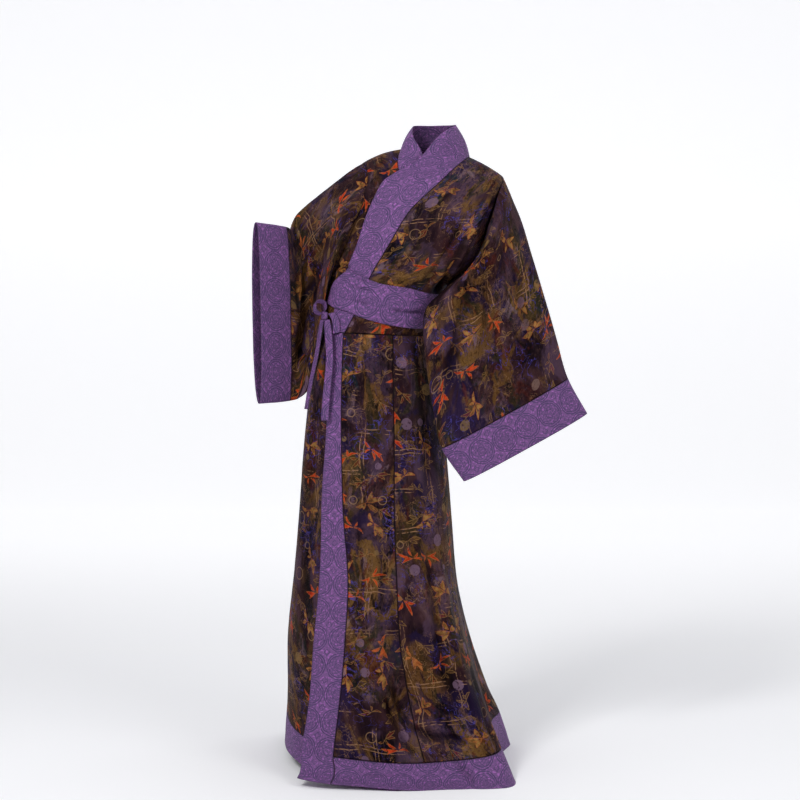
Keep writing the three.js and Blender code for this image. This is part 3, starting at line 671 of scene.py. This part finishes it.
# Materials
class Paint:
    """Short calls that add shader nodes to one material."""

    def __init__(self, name):
        self.material = bpy.data.materials.new(name)
        self.material.use_nodes = True
        self.tree = self.material.node_tree
        self.surface = self.tree.nodes["Principled BSDF"]

    def node(self, kind, **settings):
        made = self.tree.nodes.new(kind)
        for key, value in settings.items():
            setattr(made, key, value)
        return made

    def feed(self, socket, value):
        if isinstance(value, bpy.types.NodeSocket):
            self.tree.links.new(value, socket)
        elif value is not None:
            socket.default_value = value

    def math(self, operation, a, b=None):
        made = self.node("ShaderNodeMath", operation=operation)
        self.feed(made.inputs[0], a)
        self.feed(made.inputs[1], b)
        return made.outputs[0]

    def plus(self, a, b):
        return self.math("ADD", a, b)

    def minus(self, a, b):
        return self.math("SUBTRACT", a, b)

    def times(self, a, b):
        return self.math("MULTIPLY", a, b)

    def most(self, a, b):
        return self.math("MAXIMUM", a, b)

    def off(self, a, b):
        """How far apart two values are."""
        return self.math("ABSOLUTE", self.minus(a, b))

    def vector(self, operation, a, b=None):
        made = self.node("ShaderNodeVectorMath", operation=operation)
        self.feed(made.inputs[0], a)
        self.feed(made.inputs[1], b)
        return made.outputs["Value"] if operation == "LENGTH" else made.outputs[0]

    def moved(self, vector, x, y):
        return self.vector("ADD", vector, (x, y, 0))

    def split(self, vector):
        made = self.node("ShaderNodeSeparateXYZ")
        self.feed(made.inputs[0], vector)
        return made.outputs

    def join(self, x, y, z=0.0):
        made = self.node("ShaderNodeCombineXYZ")
        for socket, value in zip(made.inputs, (x, y, z)):
            self.feed(socket, value)
        return made.outputs[0]

    def step(self, value, low, high):
        """0 below low, 1 above high, smooth between; or the other way round."""
        made = self.node("ShaderNodeMapRange", interpolation_type="SMOOTHSTEP")
        self.feed(made.inputs["Value"], value)
        self.feed(made.inputs["From Min"], low)
        self.feed(made.inputs["From Max"], high)
        return made.outputs["Result"]

    def mix(self, amount, a, b, blend="MIX"):
        made = self.node("ShaderNodeMix", data_type="RGBA", blend_type=blend)
        self.feed(made.inputs[0], amount)
        self.feed(made.inputs[6], a)
        self.feed(made.inputs[7], b)
        return made.outputs[2]

    def noise(self, vector, scale, detail, rough, distortion=0.0):
        made = self.node("ShaderNodeTexNoise")
        self.feed(made.inputs["Vector"], vector)
        values = {"Scale": scale, "Detail": detail, "Roughness": rough, "Distortion": distortion}
        for label, value in values.items():
            made.inputs[label].default_value = value
        return made.outputs["Fac"]

    def ramp(self, value, stops):
        made = self.node("ShaderNodeValToRGB")
        self.feed(made.inputs[0], value)
        elements = made.color_ramp.elements
        while len(elements) < len(stops):
            elements.new(0.5)
        for element, (place, colour) in zip(elements, stops):
            element.position = place
            element.color = colour
        return made.outputs["Color"]

    def attribute(self, name):
        return self.node("ShaderNodeAttribute", attribute_name=name).outputs["Fac"]

    def look(self, settings):
        for label, value in settings.items():
            self.feed(self.surface.inputs[label], value)

    def bump(self, height, strength, distance):
        made = self.node("ShaderNodeBump")
        self.feed(made.inputs["Height"], height)
        made.inputs["Strength"].default_value = strength
        made.inputs["Distance"].default_value = distance
        self.look({"Normal": made.outputs[0]})


def linear(value):
    share = value / 255
    return ((share + 0.055) / 1.055) ** 2.4 if value > 10 else share / 12.92


def rgb(r, g, b):
    """A colour from its 0 to 255 screen values."""
    return linear(r), linear(g), linear(b), 1.0


class Cloth(Paint):
    """A cloth's material, drawn on the cloth's own lengths, u across and v along, in metres."""

    def __init__(self, name):
        super().__init__(name)
        self.uv = self.node("ShaderNodeTexCoord").outputs["UV"]
        self.u, self.v, _ = self.split(self.uv)

    def repeat(self, value, pitch):
        """Where a value lies in its repeat, from 0 to 1."""
        return self.math("FRACT", self.math("DIVIDE", value, pitch))

    def wobble(self, scale, detail, rough, amount):
        return self.times(self.minus(self.noise(self.uv, scale, detail, rough), 0.5), amount)

    def finish(self, colour, height, darkness):
        """Darkens the cloth along its seams and a little at its folded edges, and paints shade into
        the troughs of its creases.
        """
        sewn = self.step(self.attribute("sewn"), 0.0022, 0.0006)
        free = self.step(self.attribute("free"), 0.0016, 0.0004)
        # Painted shade: the troughs of the creases are darkened as if they lay in shadow
        hollow_shade = self.times(self.attribute("hollow_shade"), 0.7 * darkness)
        shaded = self.mix(1.0, colour, (0.25, 0.22, 0.25, 1.0), "MULTIPLY")
        colour = self.mix(hollow_shade, colour, shaded)
        amount = self.times(self.most(sewn, self.times(free, 0.45)), darkness)
        colour = self.mix(amount, colour, rgb(24, 16, 22))
        self.look({"Base Color": colour})
        return self.minus(height, self.times(sewn, 1.6))

    def fibres(self, rough, specular, sheen, sheen_rough, tint):
        self.look({
            "Roughness": rough, "Specular IOR Level": specular, "Sheen Weight": sheen,
            "Sheen Roughness": sheen_rough, "Sheen Tint": tint,
        })


ROUNDEL_PITCH = 0.0645


def roundels(p):
    """Double rings round a scroll of crossed spirals, and a small blossom between four roundels.

    Radii are in millimetres."""
    wobble = p.wobble(50, 1, 0.5, 0.005)

    def far(x, y):
        return p.times(p.vector("LENGTH", p.join(x, y)), ROUNDEL_PITCH * 1000)

    def ring(radius, half):
        return p.step(p.off(r, radius), half + 0.5, half - 0.3)

    def spiral(count, pitch, shift, edge):
        turned = p.plus(p.times(angle, float(count)), p.times(r, pitch))
        return p.step(p.math("ABSOLUTE", p.math("SINE", p.plus(turned, shift))), edge, edge * 0.35)

    x = p.minus(p.repeat(p.plus(p.u, wobble), ROUNDEL_PITCH), 0.5)
    y = p.minus(p.repeat(p.plus(p.v, wobble), ROUNDEL_PITCH), 0.5)
    r = far(x, y)
    angle = p.math("ARCTAN2", y, x)
    rings = p.most(p.most(ring(30.4, 1.15), ring(25.6, 1.0)), ring(10.5, 0.8))
    outer = p.most(spiral(4, 0.44, 0.4, 0.5), spiral(5, -0.4, 1.1, 0.42))
    outer = p.times(outer, p.step(r, 11.0, 12.5))
    inner = p.most(spiral(3, 0.6, 0.0, 0.48), spiral(3, -0.5, 0.9, 0.42))
    inner = p.times(inner, p.step(r, 10.0, 9.0))
    scroll = p.times(p.most(outer, inner), p.step(r, 25.0, 24.0))
    corner_x = p.minus(0.5, p.math("ABSOLUTE", x))
    corner_y = p.minus(0.5, p.math("ABSOLUTE", y))
    corner_angle = p.times(p.math("ARCTAN2", corner_y, corner_x), 2.0)
    petal = p.times(p.math("ABSOLUTE", p.math("COSINE", corner_angle)), 3.4)
    blossom = p.step(p.off(far(corner_x, corner_y), p.plus(petal, 3.2)), 1.7, 0.7)
    return p.most(p.most(rings, p.times(scroll, 0.85)), p.times(blossom, 0.85))


def border_material():
    p = Cloth("border_cloth")
    lines = roundels(p)
    tone = p.noise(p.uv, 16, 3, 0.55)
    base = p.mix(tone, rgb(96, 64, 110), rgb(114, 78, 130))
    fleck = p.step(p.noise(p.uv, 165, 2, 0.6), 0.52, 0.64)
    base = p.mix(p.times(fleck, 0.75), base, rgb(160, 98, 172))
    dark = p.step(p.noise(p.moved(p.uv, 3.3, 1.9), 190, 2, 0.6), 0.46, 0.36)
    base = p.mix(p.times(dark, 0.45), base, rgb(60, 46, 80))
    thread = 2 * math.pi / 0.0011
    weave = p.times(p.math("SINE", p.times(p.u, thread)), p.math("SINE", p.times(p.v, thread)))
    base = p.mix(p.times(p.plus(weave, 1.0), 0.04), base, rgb(62, 42, 84))
    colour = p.mix(p.times(lines, 0.8), base, rgb(56, 50, 82))
    height = p.plus(p.times(lines, -0.5), p.times(weave, 0.12))
    height = p.plus(height, p.times(p.noise(p.uv, 45, 3, 0.6), 1.3))
    p.bump(p.finish(colour, height, 0.75), 0.6, 0.0012)
    p.fibres(p.plus(0.66, p.times(lines, 0.12)), 0.22, 0.1, 0.45, rgb(205, 170, 225))
    return p.material


# Patches of the printed ground: shift, scale, where a patch starts and is full, amount and colour
BROAD_PATCHES = [
    [8.6, 4.4, 7, 0.51, 0.6, 0.6, rgb(98, 74, 92)],
    [1.2, 5.1, 8, 0.47, 0.4, 0.8, rgb(42, 30, 62)],
]
BRUSHED_PATCHES = [
    [3.1, 7.7, 12, 0.5, 0.58, 0.9, rgb(124, 88, 42)],
    [6.4, 2.7, 13, 0.53, 0.6, 0.75, rgb(54, 50, 28)],
    [9.3, 1.2, 16, 0.57, 0.65, 0.75, rgb(28, 46, 50)],
    [4.9, 8.2, 14, 0.43, 0.36, 0.9, rgb(12, 8, 14)],
    [7.7, 0.6, 16, 0.44, 0.37, 0.6, rgb(96, 40, 26)],
    [5.5, 2.2, 22, 0.57, 0.68, 0.7, rgb(138, 110, 114)],
    [2.5, 9.2, 32, 0.57, 0.7, 0.6, rgb(142, 104, 68)],
]
# Violet strokes and tan scratches: shift, settings of the noise, where a stroke ends and is full,
# then the shift, scale and threshold of the areas that have them, amount and colour
STROKES = [
    [(1.7, 4.1), (24, 3, 0.5, 1.6), (0.014, 0.005), (8.8, 0.3), 9, 0.5, 0.75, rgb(66, 58, 132)],
    [(5.2, 7.9), (30, 4, 0.6, 1.2), (0.01, 0.003), (0.4, 3.3), 11, 0.52, 0.6, rgb(140, 104, 74)],
]
# Leaves of one sprig: angle, how it follows the sway, start, length, half width and bow, in metres
LEAVES = [
    [1.5, 0.0, 0.0, 0.042, 0.0044, 0.003],
    [0.75, 1.0, 0.004, 0.026, 0.004, -0.003],
    [2.4, -1.0, 0.006, 0.024, 0.0038, 0.003],
    [4.55, 0.8, 0.001, 0.028, 0.003, 0.004],
    [3.5, -0.6, 0.003, 0.015, 0.003, -0.002],
]


class Print(Cloth):
    """The printed cloth's material: lay puts one more colour on its ground."""

    def __init__(self):
        super().__init__("printed_cloth")
        self.drips = self.join(self.u, self.times(self.v, 0.6))
        self.rag = self.wobble(200, 2, 0.6, 0.0034)
        self.worn = self.step(self.noise(self.uv, 120, 3, 0.6), 0.3, 0.48)
        brick = self.step(self.noise(self.uv, 70, 3, 0.6), 0.4, 0.62)
        ochre = self.step(self.noise(self.uv, 60, 3, 0.6), 0.4, 0.62)
        self.hot = self.mix(brick, rgb(150, 38, 16), rgb(188, 66, 28))
        self.gold = self.mix(ochre, rgb(104, 68, 34), rgb(148, 108, 58))
        self.ground = self.ramp(self.noise(self.drips, 9, 4, 0.55, 0.9), [
            (0.34, rgb(22, 12, 18)), (0.43, rgb(44, 26, 32)), (0.5, rgb(56, 34, 38)),
            (0.57, rgb(70, 44, 44)), (0.66, rgb(98, 70, 72)),
        ])

    def lay(self, mask, amount, colour):
        self.ground = self.mix(self.times(mask, amount), self.ground, colour)

    def patch(self, x, y, scale, low, high, detail, rough=0.62):
        noise = self.noise(self.moved(self.drips, x, y), scale, detail, rough, 0.9)
        return self.step(noise, low, high)

    def places(self, size, x, y, jitter):
        """Jittered places for motifs, each with its own random numbers."""
        moved = self.moved(self.uv, x, y)
        cells = self.node("ShaderNodeTexVoronoi", voronoi_dimensions="2D", feature="F1")
        self.feed(cells.inputs["Vector"], moved)
        cells.inputs["Scale"].default_value = 1 / size
        cells.inputs["Randomness"].default_value = jitter
        local = self.vector("SUBTRACT", moved, cells.outputs["Position"])
        return local, self.split(cells.outputs["Color"])


def mottle(p):
    """Calm plum areas, and brushed ones in olive, gold and mauve."""
    busy = p.patch(7.1, 3.9, 6.5, 0.38, 0.52, 3, 0.5)
    for x, y, scale, low, high, amount, colour in BROAD_PATCHES:
        p.lay(p.patch(x, y, scale, low, high, 4, 0.6), amount, colour)
    for x, y, scale, low, high, amount, colour in BRUSHED_PATCHES:
        p.lay(p.times(p.patch(x, y, scale, low, high, 6, 0.68), busy), amount, colour)
    streaks = p.noise(p.join(p.u, p.times(p.v, 0.22)), 78, 4, 0.65, 0.3)
    p.lay(p.step(streaks, 0.54, 0.7), 0.25, rgb(112, 84, 72))
    p.lay(p.step(streaks, 0.46, 0.3), 0.45, rgb(12, 8, 11))
    dabs = p.noise(p.join(p.u, p.times(p.v, 0.7), 2.3), 150, 4, 0.7, 0.6)
    brushed = p.plus(p.times(busy, 0.75), 0.15)
    p.lay(p.times(p.step(dabs, 0.5, 0.36), brushed), 0.6, rgb(14, 8, 12))
    p.lay(p.times(p.step(dabs, 0.56, 0.7), brushed), 0.5, rgb(136, 100, 78))
    shade = p.step(p.noise(p.moved(p.uv, 0.9, 6.3), 3.6, 3, 0.6, 0.5), 0.36, 0.62)
    dim = p.mix(1.0, p.ground, (0.66, 0.58, 0.62, 1.0), "MULTIPLY")
    ground = p.mix(shade, dim, p.ground)
    p.ground = p.mix(0.85, ground, (0.59, 0.62, 0.72, 1.0), "MULTIPLY")


def strokes(p):
    """Violet strokes and tan scratches."""
    for shift, settings, thin, area_shift, area, low, amount, colour in STROKES:
        line = p.step(p.off(p.noise(p.moved(p.uv, *shift), *settings), 0.5), *thin)
        where = p.step(p.noise(p.moved(p.uv, *area_shift), area, 2, 0.5), low, 0.6)
        p.lay(p.times(line, where), amount, colour)


def checks(p):
    """Tan checks of paired lines."""
    bend = p.wobble(11, 2, 0.5, 0.03)

    def pairs(value, pitch):
        away = p.times(p.off(p.repeat(p.plus(value, bend), pitch), 0.5), pitch)
        return p.step(p.off(away, 0.0045), 0.0014, 0.0008)

    checks = p.most(pairs(p.u, 0.118), pairs(p.v, 0.094))
    checks = p.times(checks, p.patch(2.9, 6.1, 8, 0.5, 0.58, 3))
    checks = p.times(checks, p.step(p.noise(p.uv, 90, 2, 0.6), 0.38, 0.52))
    p.lay(checks, 0.75, rgb(140, 104, 78))


def leaf(p, local, angle, start, length, half, bow):
    """Above 0 inside a curved pointed leaf."""
    made = p.node("ShaderNodeVectorRotate", rotation_type="Z_AXIS")
    p.feed(made.inputs["Vector"], local)
    p.feed(made.inputs["Angle"], angle)
    along, side, _ = p.split(made.outputs[0])
    t = p.math("DIVIDE", p.minus(along, start), length)
    body = p.times(p.times(t, p.minus(1.0, t)), 4.0)
    width = p.times(p.math("POWER", p.most(body, 0.0), 1.15), half)
    held = p.times(p.step(body, 0.0, 0.02), 0.02)
    return p.minus(p.plus(p.minus(width, 0.02), held), p.off(side, p.times(body, bow)))


def sprigs(p, size, x, y, grown, hidden, filled, lined, line_colour):
    """Sprigs of leaves, filled and in outline."""
    local, random = p.places(size, x, y, 0.7)
    spin = p.times(p.minus(random[0], 0.5), 4.4)
    sway = p.times(p.minus(random[1], 0.5), 0.9)
    plump = p.plus(p.times(random[2], 0.7), 0.6)
    leaves = -1.0
    for turn, follow, start, length, half, bow in LEAVES:
        angle = p.plus(p.plus(spin, turn), p.times(sway, follow))
        wide = p.times(plump, half * grown)
        one = leaf(p, local, angle, start * grown, length * grown, wide, bow * grown)
        leaves = p.most(leaves, one)
    leaves = p.plus(leaves, p.rag)
    shown = p.step(random[1], hidden, hidden + 0.02)
    fill = p.times(p.step(leaves, 0.0, 0.0012), shown)
    edge = p.times(p.step(p.math("ABSOLUTE", leaves), 0.0011, 0.0004), shown)
    tint = p.mix(p.step(random[2], 0.5, 0.56), p.hot, p.gold)
    p.lay(p.times(fill, p.worn), filled, tint)
    p.lay(p.times(edge, p.worn), lined, line_colour)


def discs(p):
    """Small discs and open rings."""
    local, random = p.places(0.07, 3.37, 1.91, 0.8)
    away = p.vector("LENGTH", local)
    radius = p.plus(0.006, p.times(random[0], 0.009))
    disc = p.step(p.minus(p.plus(away, p.rag), radius), 0.0008, -0.0008)
    ring = p.step(p.off(away, radius), 0.0014, 0.0006)
    full = p.step(random[1], 0.74, 0.76)
    open_ones = p.times(p.step(random[1], 0.56, 0.58), p.step(random[1], 0.74, 0.72))
    tint = p.mix(p.step(random[2], 0.4, 0.6), rgb(118, 92, 58), rgb(108, 84, 104))
    p.lay(p.times(p.times(disc, full), p.worn), 0.65, tint)
    p.lay(p.times(ring, open_ones), 0.6, rgb(140, 108, 78))


def print_material():
    p = Print()
    mottle(p)
    strokes(p)
    checks(p)
    sprigs(p, 0.062, 5.13, 2.71, 0.8, 0.45, 0.15, 0.6, rgb(132, 98, 56))
    sprigs(p, 0.088, 0.0, 0.0, 1.0, 0.3, 0.92, 0.5, rgb(176, 98, 52))
    discs(p)
    twill = p.math("SINE", p.times(p.plus(p.u, p.v), 2 * math.pi / 0.0009))
    height = p.plus(p.times(twill, 0.06), p.times(p.noise(p.uv, 24, 3, 0.55, 0.3), 2.4))
    p.bump(p.finish(p.ground, height, 0.9), 0.55, 0.0016)
    p.fibres(0.52, 0.02, 0.01, 0.35, rgb(190, 170, 160))
    return p.material


LOOKS = {"printed_cloth": print_material(), "border_cloth": border_material()}
THICKNESS = {"printed_cloth": PRINT_THICK, "border_cloth": BORDER_THICK}


def add(name, slot, grid, creases=(), ripple=0, sewn="", closed=False, upside=False, centre=0.5,
        thick=None):
    """Makes one piece's cloth, a thin shell on a grid in millimetres, in its solid's place.

    sewn names its edges that are sewn to another piece: first or last row, left or right column."""
    normals = grid_normals(grid, closed)
    away = relief(grid, normals, creases, ripple)
    grid = (grid + normals * away[..., None]) / 1000
    shift = np.array(PATTERN_AT.get(name, (0.0, 0.0)))
    mesh = grid_mesh(name + "_cloth", grid, cloth_uv(grid, closed, upside, centre, shift))
    values = edge_distances(grid, closed, sewn)
    # Painted shade: how deep each point lies in a crease trough sets how dark it is painted
    values["hollow_shade"] = np.clip(-away / HOLLOW_SHADE_DEPTH, 0, 1)
    for label, numbers in values.items():
        attribute = mesh.attributes.new(label, "FLOAT", "POINT")
        attribute.data.foreach_set("value", numbers.astype(np.float32).ravel())
    mesh.materials.append(LOOKS[slot])
    piece = add_object(name + "_cloth", mesh)
    solid = piece.modifiers.new("thickness", "SOLIDIFY")
    solid.thickness = (thick or THICKNESS[slot]) / 1000
    solid.offset = 0
    solid.use_even_offset = False
    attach(piece, "root")
    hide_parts(name)


# Bodice, collar and sleeves
for side in ("left", "right"):
    grid = bodice_grid(side, *BODICE_GRID)
    add("bodice_" + side, "printed_cloth", grid, BODY_RELIEF, 0.5, "first last left right")
neck = np.linspace(0, NECK_ROW, COLLAR_GRID[0])
left_half = collar_half("left", neck, COLLAR_GRID[1])
right_half = collar_half("right", neck[:-1], COLLAR_GRID[1])
collar = np.concatenate([left_half, right_half[::-1]])
add("collar", "border_cloth", collar, BODY_RELIEF, 0.4, "first last right", centre=0.0)
SLEEVES = [("left", LEFT_SLEEVE, LEFT_RELIEF), ("right", RIGHT_SLEEVE, RIGHT_RELIEF)]
for side, rows, creases in SLEEVES:
    sleeve = sleeve_grid(side, rows, 0, 1, SLEEVE_GRID)
    cuff = sleeve_grid(side, rows, 1, CUFF_END, CUFF_GRID)
    add("sleeve_" + side, "printed_cloth", sleeve, creases, 0.6, "first last",
        closed=True, upside=True)
    add("cuff_" + side, "border_cloth", cuff, creases, 0.6, "first", closed=True, upside=True)
add("belt", "border_cloth", belt_grid(*BELT_GRID), BODY_RELIEF, 0.4)

# Skirt pieces: name, upper and lower row, points down and across, from and to round the ring,
# whether it is in the overlap, and its sewn edges
BACK_END = 2 + RIGHT_SIDE_SEAM
SKIRT_PIECES = [
    ["front_border", 0, 1, 220, 22, "free", "border", True, "right last"],
    ["skirt_front_inner", 0, HEM_START, 200, 40, "border", "gore", True, "left right first last"],
    ["skirt_front_outer", 0, HEM_START, 200, 66, "gore", 1, True, "left right first last"],
    ["skirt_under", 0, HEM_START, 200, 70, RIGHT_SIDE_SEAM, UNDER_EDGE, False, "left first last"],
    ["skirt_back", 0, HEM_START, 200, 170, 1, BACK_END, False, "left right first last"],
    ["hem_under", HEM_START, 1, 24, 70, RIGHT_SIDE_SEAM, UNDER_EDGE, False, "left last"],
    ["hem_back", HEM_START, 1, 24, 170, 1, BACK_END, False, "left right last"],
    ["hem_front", HEM_START, 1, 24, 100, "border", 1, True, "left right last"],
]
for name, low, high, rows, columns, start, end, over, sewn in SKIRT_PIECES:
    grid = skirt_grid(low, high, rows, columns, start, end, over)
    if name.startswith("skirt"):
        add(name, "printed_cloth", grid, BODY_RELIEF, 0.6, sewn)
    else:
        add(name, "border_cloth", grid, BODY_RELIEF, 0.6, sewn, centre=0.0)


# The bow
def through(points, count):
    """A smooth path through points."""
    p = np.array(points, float)
    ends = np.concatenate([[2 * p[0] - p[1]], p, [2 * p[-1] - p[-2]]])
    t = np.linspace(0, len(p) - 1, count)
    i = np.minimum(t.astype(int), len(p) - 2)
    f = (t - i)[:, None]
    a, b, c, d = ends[i], ends[i + 1], ends[i + 2], ends[i + 3]
    bend = 2 * a - 5 * b + 4 * c - d
    twist = 3 * b - a - 3 * c + d
    return 0.5 * (2 * b + (c - a) * f + bend * f ** 2 + twist * f ** 3)


for name, way, points in TIE_RIBBONS:
    path = through(points, RIBBON_GRID[0])
    across = unit(np.array(way, float))
    places = np.linspace(-0.5, 0.5, RIBBON_GRID[1])
    pinch = 1 - 0.35 * np.exp(-np.linalg.norm(path - KNOT_AT, axis=1) / 10)
    grid = path[:, None, :] + across * (places[None, :] * TIE_WIDTH * pinch[:, None])[..., None]
    cup = 1.2 * np.sin(np.linspace(0, 9, RIBBON_GRID[0]))[:, None] * (places[None, :] * 2) ** 2
    grid = grid + grid_normals(grid, False) * cup[..., None]
    add(name, "border_cloth", grid, centre=0.0, thick=RIBBON_THICK)
angle = np.arange(KNOT_GRID[1]) / KNOT_GRID[1] * 2 * np.pi
h = np.linspace(-1, 1, KNOT_GRID[0])[:, None]
radius = KNOT_RADIUS * (1 - 0.25 * h ** 2) * (1 + 0.05 * np.sin(5 * angle + 3 * h))
along = h * TIE_WIDTH * 0.4 + 0 * angle
knot = KNOT_AT + stack(along, radius * 0.6 * np.cos(angle), radius * np.sin(angle))
add("tie_knot", "border_cloth", knot, closed=True, thick=RIBBON_THICK)

# Floor and backdrop in one sweep, in metres
SWEEP_NEAR = -9.0
SWEEP_FAR = 7.0
SWEEP_HALF = 12.0
SWEEP_CURVE = 1.6
bend_at = SWEEP_FAR - SWEEP_CURVE
profile = [(SWEEP_NEAR, 0.0), (bend_at, 0.0)]
for turned in np.linspace(0.05, math.pi / 2, 24):
    profile.append((bend_at + SWEEP_CURVE * math.sin(turned), SWEEP_CURVE * (1 - math.cos(turned))))
profile.append((SWEEP_FAR, SWEEP_FAR))
sweep_mesh = bpy.data.meshes.new("sweep")
sweep_points = [(x, y, FLOOR_Z / 1000 + z) for y, z in profile for x in (-SWEEP_HALF, SWEEP_HALF)]
sweep_faces = [(2 * i, 2 * i + 1, 2 * i + 3, 2 * i + 2) for i in range(len(profile) - 1)]
sweep_mesh.from_pydata(sweep_points, [], sweep_faces)
sweep_mesh.shade_smooth()
sweep = add_object("sweep", sweep_mesh)
paper = Paint("backdrop")
# The paper glows a little far back, so that it ends as white as in the photo
depth = paper.split(paper.node("ShaderNodeNewGeometry").outputs["Position"])[1]
paper.look({
    "Base Color": (0.93, 0.93, 0.945, 1), "Roughness": 0.9, "Emission Color": (1, 1, 1, 1),
    "Emission Strength": paper.times(paper.step(depth, 0.3, 4.5), 0.33),
})
sweep_mesh.materials.append(paper.material)
sweep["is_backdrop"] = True

# Light
world = bpy.data.worlds.new("world")
world.use_nodes = True
world.node_tree.nodes["Background"].inputs[0].default_value = (0.95, 0.96, 1.0, 1)
world.node_tree.nodes["Background"].inputs[1].default_value = 0.44
scene.world = world
# Lamps: name, place, what it looks at, width, height and watts
LIGHTS = [
    ["key", (-1.9, -2.9, 1.9), (-0.1, 0, -0.25), 0.9, 1.2, 100],
    ["fill", (2.6, -3.2, 0.9), (-0.1, 0, -0.7), 1.8, 2.4, 48],
    ["top", (0.0, 0.4, 3.0), (-0.1, 0, -0.5), 2.5, 2.5, 24],
    ["back_right", (2.6, 1.4, 0.4), (-0.1, 0, -0.7), 0.9, 2.6, 9],
]
for name, place, target, wide, tall, watts in LIGHTS:
    lamp = bpy.data.lights.new(name, "AREA")
    lamp.shape = "RECTANGLE"
    lamp.size = wide
    lamp.size_y = tall
    lamp.energy = watts
    holder = add_object(name, lamp)
    holder.location = place
    away = np.array(place) - np.array(target)
    flat_away = math.hypot(away[0], away[1])
    holder.rotation_euler = (math.atan2(flat_away, away[2]), 0, math.atan2(away[0], -away[1]))
scene.view_settings.view_transform = "Standard"

low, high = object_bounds()
